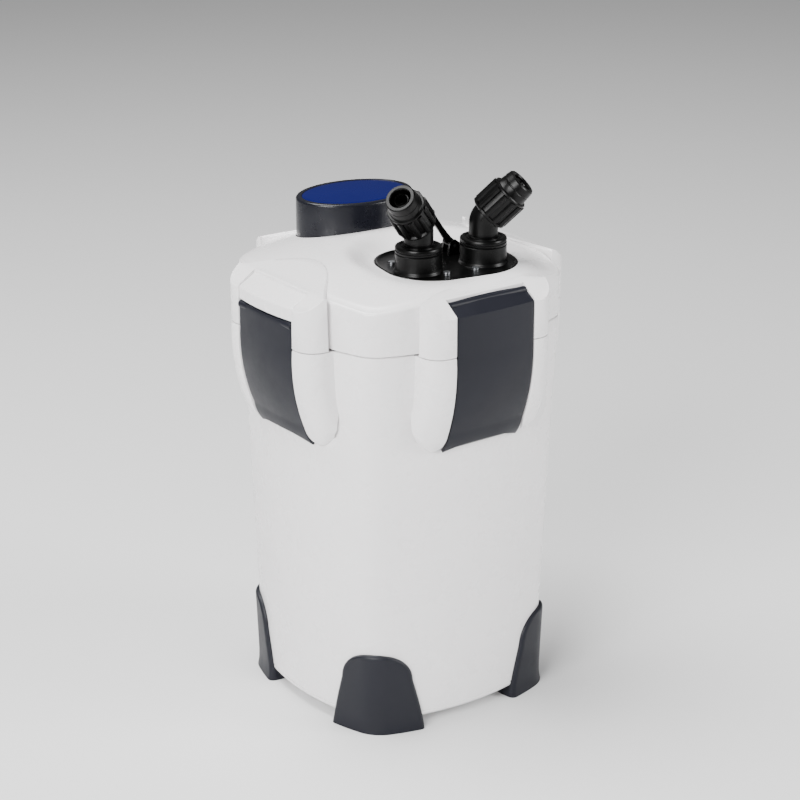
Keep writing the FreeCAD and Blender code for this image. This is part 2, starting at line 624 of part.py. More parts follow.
def stator():
    low, high = f"plate_top + 8", f"plate_top + 28"
    block = box("core_block", "pump_x - can_radius - 8", "pump_x + can_radius + 40", "pump_y - 24",
                "pump_y + 24", low, high)
    bore = rod("core_bore", "can_radius + 0.3", "60", x="pump_x", y="pump_y", z="plate_top")
    window = box("core_window", "pump_x + can_radius + 6", "pump_x + can_radius + 22", "pump_y - 12",
                 "pump_y + 12", f"{low} - 1", f"{high} + 1")
    node("stator_core", cut("stator_core_cut", block, bore, window))
    winding = box("coil_block", "pump_x + can_radius + 9", "pump_x + can_radius + 52", "pump_y - 11.5",
                  "pump_y + 11.5", f"{low} - 7", f"{high} + 7")
    yoke = box("coil_yoke", "pump_x + can_radius + 21.8", "pump_x + can_radius + 40.2", "pump_y - 20",
               "pump_y + 20", f"{low} - 0.2", f"{high} + 0.2")
    node("coil", cut("coil_cut", winding, yoke))


stator()


# ---- primer ----

def primer():
    shell = rounded("button_shell", oval("button_outside", "0", "button_low", "button_top"), "2.5",
                    lambda edge: edge.CenterOfMass.z > value("button_top") - 1)
    hollow = oval("button_hollow", "-button_wall", "button_low - 1", "button_top - 4")
    recess = oval("button_recess", "-badge_inset", "button_top - badge_thick", "button_top + 1")
    stem = rod("button_stem", "stem_radius", "button_top - 3 - (barrel_top - 10)", x="button_x",
               y="button_y", z="barrel_top - 10")
    node("primer_button", fuse("button_fuse", cut("button_cut", shell, hollow, recess), stem))
    badge = oval("badge", "-badge_inset - 0.1", "button_top - badge_thick", "button_top + 0.2")
    node("primer_badge", rounded("badge_round", badge, "0.5",
                                 lambda edge: edge.CenterOfMass.z > value("button_top")))
    low = "barrel_top - 10 - piston_high"

    def at_button(thing):
        return place(thing, x="button_x", y="button_y")
    node("primer_piston", at_button(turned_body("primer_piston", [
        ("0", low), ("barrel_bore - 1.4", low), ("barrel_bore - 1.4", f"{low} + 2"),
        ("barrel_bore - 3.5", f"{low} + 2"), ("barrel_bore - 3.5", f"{low} + 5"),
        ("barrel_bore - 1.4", f"{low} + 5"), ("barrel_bore - 1.4", "barrel_top - 10"),
        ("0", "barrel_top - 10")])))
    node("primer_seal", at_button(ring_body("primer_seal", "barrel_bore - 3.5", "barrel_bore - 0.08",
                                            f"{low} + 2", f"{low} + 5")))
    node("primer_spring", at_button(ring_body("primer_spring", "barrel_bore - 4", "barrel_bore - 2",
                                              "plate_top", low)))
    node("primer_valve", at_button(turned_body("primer_valve", [
        ("0", "plate_top"), ("8", "plate_top"), ("8", f"plate_top + 1.5"), ("0", f"plate_top + 3")])))


primer()


# ---- tap block, valves and lever ----

def tap_block():
    plate = tap_outline("tap_plate", "0", "tap_z - tap_thick", "tap_z + tap_rim")
    dish = tap_outline("tap_dish", "-2.6", "tap_z", "tap_z + 20")
    base = cut("tap_base", plate, dish)
    collars, sockets = [], []
    for number, side in enumerate((-1, 1)):
        where = {"x": f"collar_x * {side}", "y": "collar_y"}
        collars.append(rod(f"collar_{number}", "collar_radius", "collar_high + 1", z="tap_z - 1", **where))
        collars.append(rod(f"stub_{number}", "stub_radius", "tap_z - stub_low_z", z="stub_low_z", **where))
        sockets.append(rod(f"socket_{number}", "socket_radius", "60", z="tap_z + 7", **where))
        sockets.append(rod(f"port_way_{number}", "port_radius", "80", z="stub_low_z - 5", **where))
        sockets.append(sized("Part::Sphere", f"ball_seat_{number}", {"Radius": "ball_radius + ball_gap"},
                             z="ball_z", **where))
        sockets.append(rod(f"stem_way_{number}", "pin_radius + pin_gap", "ball_radius * 2 + 6",
                           x=f"collar_x * {side}", y="collar_y + ball_radius + 3", z="ball_z",
                           axis=X_AXIS, angle="90"))
    ears = []
    for side in (-1, 1):
        middle = f"lever_y + ({side}) * (lever_half + 1.8)"
        ears.append(box(f"lever_ear_{side}", "lever_x - 5", "lever_x + 5", f"{middle} - 1.5",
                        f"{middle} + 1.5", "tap_z - 1", "lever_z + 4"))
    hole = rod("lever_hole", "pin_radius", "lever_half * 2 + 10", x="lever_x", y="lever_y + lever_half + 5",
               z="lever_z", axis=X_AXIS, angle="90")
    screws = [rod(f"tap_screw_hole_{number}", "1.8", "30", x=x, y=y, z="tap_z - 12")
              for number, (x, y) in enumerate(TAP_SCREWS)]
    solid = fuse("tap_solid", base, *collars, *ears)
    node("tap_block", at_tap(cut("tap_cut", solid, *sockets, hole, *screws)))


TAP_SCREWS = (("-13.5", "-28"), ("13.5", "-28"), ("-42", "18"), ("42", "18"))
tap_block()


def tap_screws():
    screws = []
    for number, (x, y) in enumerate(TAP_SCREWS):
        shank = rod(f"tap_screw_{number}_shank", "1.8", "tap_thick + 1", x=x, y=y, z="tap_z - tap_thick")
        cap = rod(f"tap_screw_{number}_cap", "3", "1.6", x=x, y=y, z="tap_z")
        screws.append(fuse(f"tap_screw_{number}", shank, cap))
    at_tap(group("tap_screws", screws))


tap_screws()

ELBOWS = (("left", -1, "left_heading"), ("right", 1, "right_heading"))


def fittings(side_name, side, heading):
    x, y = collar_place(side)
    ring_top = "tap_z + collar_high + ring_high"
    collar_top = "tap_z + collar_high"
    ring = turned_body(f"collar_ring_{side_name}", [
        ("neck_radius + 0.1", collar_top), ("collar_radius", collar_top),
        ("collar_radius", f"{ring_top} - 2", "2"), ("collar_radius - 2", ring_top),
        ("neck_radius + 0.1", ring_top)])
    node(f"collar_ring_{side_name}", place(ring, x=x, y=y))
    seal = place(ring_body(f"swivel_seal_{side_name}", "neck_radius - 2.6", "socket_radius - 0.2",
                           "tap_z + 7", "tap_z + 8.5"), x=x, y=y)
    seat = place(ring_body(f"port_seal_{side_name}", "tube_radius - 3", "tube_radius",
                           "stub_low_z - 3", "stub_low_z"), x=x, y=y)
    ball = sized("Part::Sphere", f"ball_{side_name}", {"Radius": "ball_radius"}, z="ball_z")
    way = rod(f"ball_way_{side_name}", "port_radius", "60", z="ball_z - 30")
    stem = rod(f"ball_stem_{side_name}", "pin_radius", "ball_radius * 2 + 5", y="ball_radius + 2.5",
               z="ball_z", axis=X_AXIS, angle="90")
    drilled = cut(f"ball_cut_{side_name}", fuse(f"ball_fuse_{side_name}", ball, stem), way)
    node(f"valve_ball_{side_name}", place(drilled, x=x, y=y, axis=Z_AXIS, angle="tap_turn"))
    flange = rod(f"flange_{side_name}", "socket_radius - swivel_gap", f"{collar_top} - 0.3 - (tap_z + 8.7)",
                 z="tap_z + 8.7")
    neck = rod(f"neck_{side_name}", "neck_radius", "bend_z - (tap_z + 9)", z="tap_z + 9")
    knee = sized("Part::Sphere", f"knee_{side_name}", {"Radius": "neck_radius"}, z="bend_z")
    leg = rod(f"leg_{side_name}", "leg_radius", "leg_length", z="bend_z", axis=Y_AXIS, angle="45")
    barb = rod(f"barb_{side_name}", "barb_radius", "leg_length + barb_length", z="bend_z", axis=Y_AXIS,
               angle="45")
    bores = [rod(f"neck_bore_{side_name}", "leg_bore", "bend_z - tap_z", z="tap_z"),
             sized("Part::Sphere", f"knee_bore_{side_name}", {"Radius": "leg_bore"}, z="bend_z"),
             rod(f"leg_bore_{side_name}", "leg_bore", "leg_length + barb_length + 10", z="bend_z",
                 axis=Y_AXIS, angle="45")]
    solid = fuse(f"elbow_fuse_{side_name}", flange, neck, knee, leg, barb)
    elbow = cut(f"elbow_cut_{side_name}", solid, *bores)
    node(f"elbow_{side_name}", place(elbow, x=x, y=y, axis=Z_AXIS, angle=heading))
    nut_end, bore = "nut_start + nut_length", "leg_radius + swivel_gap"
    rear = "neck_radius + knee_gap"
    nut = turned_body(f"nut_{side_name}", [
        (rear, "nut_start"), ("nut_radius - 2", "nut_start"), ("nut_radius", "nut_start + 3"),
        ("nut_radius", f"{nut_end} - 1.5"), ("nut_radius - 1.5", nut_end), ("sleeve_start_radius", nut_end),
        ("sleeve_start_radius", f"{nut_end} + 2.5"), ("sleeve_end_radius", f"{nut_end} + sleeve_length"),
        ("mouth_radius", f"{nut_end} + sleeve_length"), ("mouth_radius", "leg_length"),
        (bore, "leg_length"), (bore, "nut_start + 5.5"), (rear, "nut_start + 5.5")])
    flutes = [rod(f"flute_{side_name}_{number}", "flute_radius", "nut_length + 10",
                  x=f"nut_radius * cos({angle})", y=f"nut_radius * sin({angle})", z="nut_start - 5")
              for number, angle in enumerate(range(0, 360, 30))]
    fluted = cut(f"nut_fluted_{side_name}", nut, *flutes)
    tilt = FreeCAD.Rotation(Z_AXIS, value(heading)).multiply(FreeCAD.Rotation(Y_AXIS, 45))
    fluted.Placement = FreeCAD.Placement(FreeCAD.Vector(), tilt)
    node(f"hose_nut_{side_name}", place(fluted, x=x, y=y, z="bend_z"))
    return [seal, seat]


group("tap_seals", [seal for elbow in ELBOWS for seal in fittings(*elbow)])


def release_lever():
    hub = rod("lever_hub", "hub_radius", "lever_half * 2", x="lever_x", y="lever_y + lever_half",
              z="lever_z", axis=X_AXIS, angle="90")
    arm = box("lever_arm", "-3", "3", "-lever_half", "lever_half", "0", "lever_length")
    grip = rod("lever_grip", "3.6", "lever_half * 2", y="lever_half", z="lever_length", axis=X_AXIS,
               angle="90")
    lean = place(fuse("lever_leaning", arm, grip), x="lever_x", y="lever_y", z="lever_z",
                 axis=Y_AXIS, angle="-lever_lean")
    hole = rod("lever_bore", "pin_radius + pin_gap", "lever_half * 2 + 6", x="lever_x",
               y="lever_y + lever_half + 3", z="lever_z", axis=X_AXIS, angle="90")
    node("release_lever", at_tap(cut("lever_cut", fuse("lever_fuse", hub, lean), hole)))
    pin = rod("lever_pin_rod", "pin_radius", "lever_half * 2 + 6.6", x="lever_x",
              y="lever_y + lever_half + 3.3", z="lever_z", axis=X_AXIS, angle="90")
    node("lever_pin", at_tap(fuse("lever_pin_fuse", pin, rod(
        "lever_pin_core", "pin_radius / 2", "lever_half", x="lever_x", y="lever_y + lever_half / 2",
        z="lever_z", axis=X_AXIS, angle="90"))))


release_lever()


# ---- baskets, media and intake tube ----

def tube_rod(name, radius, low, high):
    x, y = collar_place(-1)
    return rod(name, radius, f"({high}) - ({low})", x=x, y=y, z=low)


def basket(name, level):
    low = f"(basket_start + {level} * basket_pitch)"
    high = f"({low} + basket_high)"
    outer = bowed(f"{name}_outer", "basket_mid", "basket_mid + 2", low, high, "corner_round - 8")
    inner = bowed(f"{name}_inner", "basket_mid - basket_wall", "basket_mid + 2 - basket_wall",
                  f"{low} + basket_wall", f"{high} + 1", "corner_round - 8 - basket_wall")
    sleeve = tube_rod(f"{name}_sleeve", f"sleeve_radius + basket_wall", low, high)
    bore = tube_rod(f"{name}_bore", "sleeve_radius", f"{low} - 5", f"{high} + 5")
    slots = [box(f"{name}_slot{number}", f"{12 * number} - 2", f"{12 * number} + 2", "10", "basket_mid - 15",
                 f"{low} - 2", f"{low} + basket_wall + 1") for number in range(-5, 6)]
    solid = fuse(f"{name}_joined", cut(f"{name}_tray", outer, inner), sleeve)
    node(name, cut(f"{name}_cut", solid, bore, *slots))


BASKETS = ("basket_lower", "basket_middle", "basket_upper")
for basket_level, basket_name in enumerate(BASKETS):
    basket(basket_name, basket_level)


def pad(name, level, start, height):
    """A filter pad that fills a basket from one height to the next."""
    low = f"(basket_start + {level} * basket_pitch + basket_wall + {start})"
    mid = "basket_mid - basket_wall - 1"
    block = bowed(f"{name}_block", mid, mid, low, f"({low} + {height})", "corner_round - 12")
    bore = tube_rod(f"{name}_bore", f"sleeve_radius + basket_wall + 0.5", f"{low} - 5", f"{low} + 100")
    node(name, cut(f"{name}_cut", block, bore))


pad("coarse_sponge", 1, "0", "sponge_high")
pad("fine_sponge", 1, "sponge_high + 2", "sponge_high")
pad("floss_pad", 2, "0", "floss_high")


def media_rings():
    """Ceramic rings laid out in the lower basket, clear of the intake tube."""
    rings = []
    pitch = value("ring_pitch")
    tube_x, tube_y = (value(text) for text in collar_place(-1))
    clear = value("sleeve_radius + basket_wall + ring_radius + ring_thick + ring_clear")
    for column in range(-3, 4):
        for line in range(-3, 4):
            if (column * pitch - tube_x) ** 2 + (line * pitch - tube_y) ** 2 < clear ** 2:
                continue
            if abs(column) + abs(line) > 4:
                continue
            sizes = {"Radius1": "ring_radius", "Radius2": "ring_thick"}
            rings.append(sized("Part::Torus", f"ring_{len(rings)}", sizes, x=f"ring_pitch * {column}",
                               y=f"ring_pitch * {line}", z="basket_start + basket_wall + ring_thick + 2.8"))
    group("ceramic_rings", rings)


media_rings()


def basket_lid():
    low = f"(basket_start + 3 * basket_pitch)"
    plate = bowed("lid_plate", "basket_mid + 1", "basket_mid + 1", low, f"({low} + 3)", "corner_round - 8")
    bore = tube_rod("lid_bore", "sleeve_radius", f"{low} - 5", f"{low} + 10")
    slots = [box(f"lid_slot{number}", f"{14 * number} - 3", f"{14 * number} + 3", "10", "basket_mid - 15",
                 f"{low} - 2", f"{low} + 5") for number in range(-4, 5)]
    node("basket_lid", cut("lid_cut", plate, bore, *slots))


basket_lid()


def intake_tube():
    outer = tube_rod("tube_outer", "tube_radius", "base_z + floor_thick + 8", f"plate_low + 3.5")
    inner = tube_rod("tube_inner", "tube_radius - tube_wall", "base_z", "split_z + 20")
    node("intake_tube", cut("tube_cut", outer, inner))


intake_tube()


def cord_gland():
    start = "gland_start - 3"
    outer = rod("gland_body", "gland_radius", "gland_sunk + gland_proud + 4", x=start, y=start, z="gland_z",
                axis=FreeCAD.Vector(-1, 1, 0), angle="90")
    bore = rod("gland_way", "gland_bore", "60", x="gland_start - 10",
               y="gland_start - 10", z="gland_z", axis=FreeCAD.Vector(-1, 1, 0), angle="90")
    node("cord_gland", cut("gland_cut", outer, bore))


cord_gland()


# ---- check and write ----

doc.recompute()
faults = [item.Name for item in doc.Objects if {"Invalid", "Error"} & set(item.State)]
faults += [name for name, thing in NODES.items() if thing.Shape.isNull() or not thing.Shape.isValid()]
if faults:
    raise RuntimeError(f"failed objects: {faults}")
os.makedirs("parts", exist_ok=True)
for node_name, part in NODES.items():
    part.Shape.exportStep(f"parts/{node_name}.step")
print(len(NODES), "nodes written")
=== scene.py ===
import json
import math

import bmesh
import bpy
from mathutils import Matrix, Vector


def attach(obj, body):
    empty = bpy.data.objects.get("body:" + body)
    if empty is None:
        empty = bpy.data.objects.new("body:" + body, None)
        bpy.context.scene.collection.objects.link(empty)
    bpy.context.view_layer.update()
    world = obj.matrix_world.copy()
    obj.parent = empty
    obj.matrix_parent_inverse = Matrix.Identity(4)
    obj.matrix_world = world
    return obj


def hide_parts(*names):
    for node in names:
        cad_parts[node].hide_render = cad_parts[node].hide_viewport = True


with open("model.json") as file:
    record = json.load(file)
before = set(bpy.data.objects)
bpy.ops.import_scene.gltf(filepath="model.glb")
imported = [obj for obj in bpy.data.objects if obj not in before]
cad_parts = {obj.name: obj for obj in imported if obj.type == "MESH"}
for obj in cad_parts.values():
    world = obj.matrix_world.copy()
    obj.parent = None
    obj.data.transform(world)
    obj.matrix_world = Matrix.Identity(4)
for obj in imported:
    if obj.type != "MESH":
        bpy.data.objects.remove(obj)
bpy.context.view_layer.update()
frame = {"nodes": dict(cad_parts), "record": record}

# Looks for the canister filter. Lengths are millimetres until a mesh is made, then metres.
# The latches face right (+X), back (+Y), left (-X) and front (-Y).

print("frame loaded,", len(frame["nodes"]), "nodes")


# ---- colours and materials ----

def toLinear(hexColour):
    parts = [int(hexColour[i:i + 2], 16) / 255 for i in (1, 3, 5)]
    return [c / 12.92 if c <= 0.04045 else ((c + 0.055) / 1.055) ** 2.4 for c in parts] + [1.0]


def addNode(tree, kind, links=None, **settings):
    # links maps an input socket to a value or to another node's output
    node = tree.nodes.new(kind)
    for key, setting in settings.items():
        setattr(node, key, setting)
    for socket, source in (links or {}).items():
        if isinstance(source, bpy.types.NodeSocket):
            tree.links.new(source, node.inputs[socket])
        else:
            node.inputs[socket].default_value = source
    return node


def emptyMaterial(name):
    # a material with no nodes but the object's own coordinates
    material = bpy.data.materials.new(name)
    material.use_nodes = True
    material.node_tree.nodes.clear()
    return material, material.node_tree, addNode(material.node_tree, "ShaderNodeTexCoord").outputs["Object"]


def mouldedPlastic(name, look):
    # injection moulded: a fine spark-eroded grain, slow tone drift from the melt, tiny scuffs in the gloss
    material, tree, place = emptyMaterial(name)
    drift = addNode(tree, "ShaderNodeTexNoise", {"Vector": place, "Scale": look["driftPerMetre"],
                                                 "Detail": 2.0})
    grain = addNode(tree, "ShaderNodeTexNoise", {"Vector": place, "Scale": 1000 / look["grainMm"],
                                                 "Detail": 3.0})
    scuff = addNode(tree, "ShaderNodeTexNoise", {"Vector": place, "Scale": look["scuffPerMetre"],
                                                 "Detail": 6.0, "Roughness": 0.7})
    tone = addNode(tree, "ShaderNodeMix", {0: drift.outputs["Fac"], 6: toLinear(look["dark"]),
                                           7: toLinear(look["light"])}, data_type="RGBA")
    rough = addNode(tree, "ShaderNodeMapRange", {"Value": scuff.outputs["Fac"], 1: 0.35, 2: 0.75,
                                                 3: look["roughLow"], 4: look["roughHigh"]})
    bump = addNode(tree, "ShaderNodeBump", {"Height": grain.outputs["Fac"], "Strength": look["grainDepth"],
                                            "Distance": 0.0002})
    shader = addNode(tree, "ShaderNodeBsdfPrincipled", {
        "Base Color": tone.outputs[2], "Roughness": rough.outputs["Result"], "Normal": bump.outputs["Normal"],
        "IOR": look["ior"], "Specular IOR Level": look.get("gloss", 0.5),
        "Coat Weight": look.get("coat", 0.0), "Coat Roughness": 0.06})
    addNode(tree, "ShaderNodeOutputMaterial", {"Surface": shader.outputs[0]})
    return material


def plainMetal(name, look):
    # turned or pressed metal: brush lines one way and a little uneven gloss
    material, tree, place = emptyMaterial(name)
    stretch = addNode(tree, "ShaderNodeMapping", {"Vector": place, "Scale": (1.0, 1.0, look["lineStretch"])})
    lines = addNode(tree, "ShaderNodeTexNoise", {"Vector": stretch.outputs[0],
                                                 "Scale": 1000 / look["lineMm"]})
    tone = addNode(tree, "ShaderNodeMix", {0: lines.outputs["Fac"], 6: toLinear(look["dark"]),
                                           7: toLinear(look["light"])}, data_type="RGBA")
    rough = addNode(tree, "ShaderNodeMapRange", {"Value": lines.outputs["Fac"], 3: look["roughLow"],
                                                 4: look["roughHigh"]})
    shader = addNode(tree, "ShaderNodeBsdfPrincipled", {
        "Base Color": tone.outputs[2], "Roughness": rough.outputs["Result"], "Metallic": 1.0})
    addNode(tree, "ShaderNodeOutputMaterial", {"Surface": shader.outputs[0]})
    return material


def openFoam(name, look):
    # reticulated foam or floss: round cells that catch light at their walls
    material, tree, place = emptyMaterial(name)
    cells = addNode(tree, "ShaderNodeTexVoronoi", {"Vector": place, "Scale": 1000 / look["cellMm"]})
    tone = addNode(tree, "ShaderNodeMix", {0: cells.outputs["Distance"], 6: toLinear(look["light"]),
                                           7: toLinear(look["dark"])}, data_type="RGBA")
    bump = addNode(tree, "ShaderNodeBump", {"Height": cells.outputs["Distance"], "Strength": 0.9,
                                            "Distance": 0.001}, invert=True)
    shader = addNode(tree, "ShaderNodeBsdfPrincipled", {
        "Base Color": tone.outputs[2], "Normal": bump.outputs["Normal"], "Roughness": 0.95, "IOR": 1.5})
    addNode(tree, "ShaderNodeOutputMaterial", {"Surface": shader.outputs[0]})
    return material


plastics = {
    "whiteAbs": {
        "dark": "#E9E7E8", "light": "#F3F1F1", "driftPerMetre": 6,
        "grainMm": 0.9, "grainDepth": 0.03, "scuffPerMetre": 30,
        "roughLow": 0.24, "roughHigh": 0.34, "ior": 1.54, "coat": 0.15},
    "slateAbs": {
        "dark": "#13141B", "light": "#181921", "driftPerMetre": 9,
        "grainMm": 0.7, "grainDepth": 0.10, "scuffPerMetre": 40,
        "roughLow": 0.40, "roughHigh": 0.52, "ior": 1.5, "gloss": 0.25},
    "buttonAbs": {
        "dark": "#101117", "light": "#15161D", "driftPerMetre": 8,
        "grainMm": 0.8, "grainDepth": 0.04, "scuffPerMetre": 40,
        "roughLow": 0.24, "roughHigh": 0.34, "ior": 1.5, "gloss": 0.3},
    "blueAcrylic": {
        "dark": "#01063C", "light": "#020A52", "driftPerMetre": 8,
        "grainMm": 1.5, "grainDepth": 0.01, "scuffPerMetre": 25,
        "roughLow": 0.26, "roughHigh": 0.36, "ior": 1.49, "gloss": 0.15},
    "blackPom": {
        "dark": "#020202", "light": "#050505", "driftPerMetre": 12,
        "grainMm": 0.6, "grainDepth": 0.06, "scuffPerMetre": 60,
        "roughLow": 0.26, "roughHigh": 0.4, "ior": 1.48, "gloss": 0.2},
    "innerPp": {
        "dark": "#151617", "light": "#1D1E20", "driftPerMetre": 12,
        "grainMm": 0.8, "grainDepth": 0.12, "scuffPerMetre": 50,
        "roughLow": 0.42, "roughHigh": 0.58, "ior": 1.49},
    "sealNitrile": {
        "dark": "#101010", "light": "#191919", "driftPerMetre": 20,
        "grainMm": 0.5, "grainDepth": 0.1, "scuffPerMetre": 80,
        "roughLow": 0.6, "roughHigh": 0.8, "ior": 1.52},
    "basketPp": {
        "dark": "#8E9196", "light": "#9A9DA2", "driftPerMetre": 10,
        "grainMm": 0.9, "grainDepth": 0.08, "scuffPerMetre": 40,
        "roughLow": 0.4, "roughHigh": 0.55, "ior": 1.49},
    "tubePvc": {
        "dark": "#4B4E52", "light": "#585B60", "driftPerMetre": 10,
        "grainMm": 0.9, "grainDepth": 0.05, "scuffPerMetre": 40,
        "roughLow": 0.3, "roughHigh": 0.42, "ior": 1.53},
    "firedCeramic": {
        "dark": "#CFC6B6", "light": "#E6DFD2", "driftPerMetre": 40,
        "grainMm": 0.8, "grainDepth": 0.5, "scuffPerMetre": 90,
        "roughLow": 0.7, "roughHigh": 0.9, "ior": 1.6},
}
metals = {
    "zincSteel": {"dark": "#8F9296", "light": "#C3C6CA", "lineMm": 0.6, "lineStretch": 0.1,
                  "roughLow": 0.25, "roughHigh": 0.4},
    "laminatedIron": {"dark": "#4E5054", "light": "#77797D", "lineMm": 1.0, "lineStretch": 6.0,
                      "roughLow": 0.4, "roughHigh": 0.6},
    "enamelledCopper": {"dark": "#7A3313", "light": "#B5602C", "lineMm": 0.8, "lineStretch": 8.0,
                        "roughLow": 0.2, "roughHigh": 0.35},
    "sinteredFerrite": {"dark": "#2B2C2F", "light": "#414347", "lineMm": 1.2, "lineStretch": 1.0,
                        "roughLow": 0.45, "roughHigh": 0.65},
}
foams = {
    "blueFoam": {"dark": "#123A6E", "light": "#2E6BB0", "cellMm": 2.4},
    "blackFoam": {"dark": "#0C0C0D", "light": "#2A2A2C", "cellMm": 1.5},
    "whiteFloss": {"dark": "#C9C9C6", "light": "#F0F0EE", "cellMm": 1.0},
}
finish = {name: mouldedPlastic(name, look) for name, look in plastics.items()}
finish.update({name: plainMetal(name, look) for name, look in metals.items()})
finish.update({name: openFoam(name, look) for name, look in foams.items()})
slotFinish = {
    "white_plastic": "whiteAbs", "grey_plastic": "slateAbs", "hook_plastic": "innerPp",
    "blue_inlay": "blueAcrylic", "black_plastic": "blackPom", "inner_black": "innerPp",
    "seal_rubber": "sealNitrile", "steel": "zincSteel", "core_iron": "laminatedIron",
    "resin_coil": "enamelledCopper", "magnet": "sinteredFerrite", "ceramic": "firedCeramic",
    "basket_plastic": "basketPp", "tube_plastic": "tubePvc", "sponge_blue": "blueFoam",
    "sponge_black": "blackFoam", "floss": "whiteFloss",
}
for row in frame["record"]["subparts"]:
    carried = frame["nodes"][row["node"]].data
    carried.materials.clear()
    carried.materials.append(finish[slotFinish[row["material_slot"]]])
print("materials made")


# ---- mesh helpers ----

def meshFrom(name, parts, weld=False):
    # parts: closed shells as (points in mm, faces)
    form = bmesh.new()
    for points, faces in parts:
        made = [form.verts.new(Vector(point) * 0.001) for point in points]
        for face in faces:
            form.faces.new([made[i] for i in face])
    if weld:
        bmesh.ops.remove_doubles(form, verts=form.verts, dist=1e-7)
    bmesh.ops.recalc_face_normals(form, faces=form.faces)
    mesh = bpy.data.meshes.new(name)
    form.to_mesh(mesh)
    form.free()
    return mesh


def inScene(name, mesh):
    thing = bpy.data.objects.new(name, mesh)
    bpy.context.scene.collection.objects.link(thing)
    return thing


def evaluatedMesh(thing):
    # the mesh that a thing's modifiers give
    bpy.context.view_layer.update()
    return bpy.data.meshes.new_from_object(thing.evaluated_get(bpy.context.evaluated_depsgraph_get()))


def pieceFrom(name, parts, look, body, stands, smoothAngle, bevel=None):
    finishPiece(name, meshFrom(name, parts), look, body, stands, smoothAngle, bevel)


def finishPiece(name, mesh, look, body, stands, smoothAngle, bevel=None):
    # one object placed by its mesh, with its finish, its edges and its body
    piece = inScene(name, mesh)
    mesh.materials.clear()
    mesh.materials.append(finish[look])
    if bevel:
        edge = piece.modifiers.new("edges", "BEVEL")
        edge.width, edge.segments, edge.limit_method = bevel * 0.001, 3, "ANGLE"
        edge.angle_limit = math.radians(28)
        baked = evaluatedMesh(piece)
        piece.modifiers.clear()
        piece.data = baked
    piece.data.shade_smooth()
    piece.data.set_sharp_from_angle(angle=math.radians(smoothAngle))
    piece.data.name = name
    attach(piece, body)
    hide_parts(*stands)


def loft(rings, capStart=True, capEnd=True, closed=True):
    # rings of equal length joined one to the next
    count = len(rings[0])
    points = [tuple(point) for ring in rings for point in ring]
    faces = []
    for row in range(len(rings) - 1):
        for column in range(count if closed else count - 1):
            a, b = row * count + column, row * count + (column + 1) % count
            faces.append((a, b, b + count, a + count))
    if capStart:
        faces.append(tuple(range(count))[::-1])
    if capEnd:
        start = (len(rings) - 1) * count
        faces.append(tuple(range(start, start + count)))
    return points, faces


def fanCap(points, faces, ring, centre):
    # closes a ring with a fan of triangles about a centre point
    hub = len(points)
    points.append(tuple(centre))
    faces += [(ring[i], ring[(i + 1) % len(ring)], hub) for i in range(len(ring))]


def tracePath(corners, step=3.0):
    # points along straight runs and arcs; a third value is an arc's radius, negative when it turns right
    path = []
    for here, there in zip(corners, corners[1:]):
        start, end = Vector(here[:2]), Vector(there[:2])
        if len(here) == 2:
            count = max(1, round((end - start).length / step))
            path += [start.lerp(end, i / count) for i in range(count)]
            continue
        radius = here[2]
        chord = end - start
        side = Vector((-chord.y, chord.x)).normalized() * (1 if radius > 0 else -1)
        centre = start + chord * 0.5 + side * math.sqrt(radius ** 2 - chord.length_squared / 4)
        first = math.atan2(*(start - centre).yx)
        swing = 2 * math.asin(chord.length / (2 * abs(radius))) * (1 if radius > 0 else -1)
        count = max(3, round(abs(radius * swing) / step))
        for i in range(count):
            angle = first + swing * i / count
            path.append(centre + Vector((math.cos(angle), math.sin(angle))) * abs(radius))
    return path + [Vector(corners[-1][:2])]


def pathNormals(path):
    # unit normals on the left of the way the path runs
    normals = []
    for i in range(len(path)):
        run = path[min(i + 1, len(path) - 1)] - path[max(i - 1, 0)]
        normals.append(Vector((-run.y, run.x)).normalized())
    return normals


def turned(points, degrees):
    # turns points about Z
    spin = Matrix.Rotation(math.radians(degrees), 3, "Z")
    return [tuple(spin @ Vector(point)) for point in points]


def roundAngles(count):
    return [2 * math.pi * i / count for i in range(count)]


def quarterAngles(count):
    return [math.pi / 2 * i / count for i in range(count + 1)]


def runLengths(path):
    # distance along a path at each of its points
    lengths = [0.0]
    for a, b in zip(path, path[1:]):
        lengths.append(lengths[-1] + (b - a).length)
    return lengths


def circleRing(radius, z, count):
    return [(radius * math.cos(a), radius * math.sin(a), z) for a in roundAngles(count)]


def lathe(profile, count=64):
    # a solid turned about Z from a profile of (radius, z), flat at both ends
    return loft([circleRing(radius, z, count) for radius, z in profile])


def latheRing(profile, count):
    # a ring: the profile's last point joins its first
    return loft([circleRing(radius, z, count) for radius, z in profile + profile[:1]], False, False)


def moved(part, shift=(0, 0, 0), matrix=None):
    points, faces = part
    if matrix is not None:
        points = [tuple(matrix @ Vector(point)) for point in points]
    return [tuple(Vector(point) + Vector(shift)) for point in points], faces


def carve(part, cutters):
    # subtracts closed shells from a closed shell, exactly
    base = inScene("shell", meshFrom("shell", [part], True))
    tools = [inScene("tool", meshFrom("tool", [cutter], True)) for cutter in cutters]
    for tool in tools:
        cutting = base.modifiers.new("carve", "BOOLEAN")
        cutting.operation, cutting.solver, cutting.object = "DIFFERENCE", "EXACT", tool
    result = evaluatedMesh(base)
    points = [tuple(vertex.co * 1000) for vertex in result.vertices]
    faces = [tuple(face.vertices) for face in result.polygons]
    for thing in [base] + tools:
        bpy.data.objects.remove(thing)
    return points, faces


# ---- camera, floor and light ----

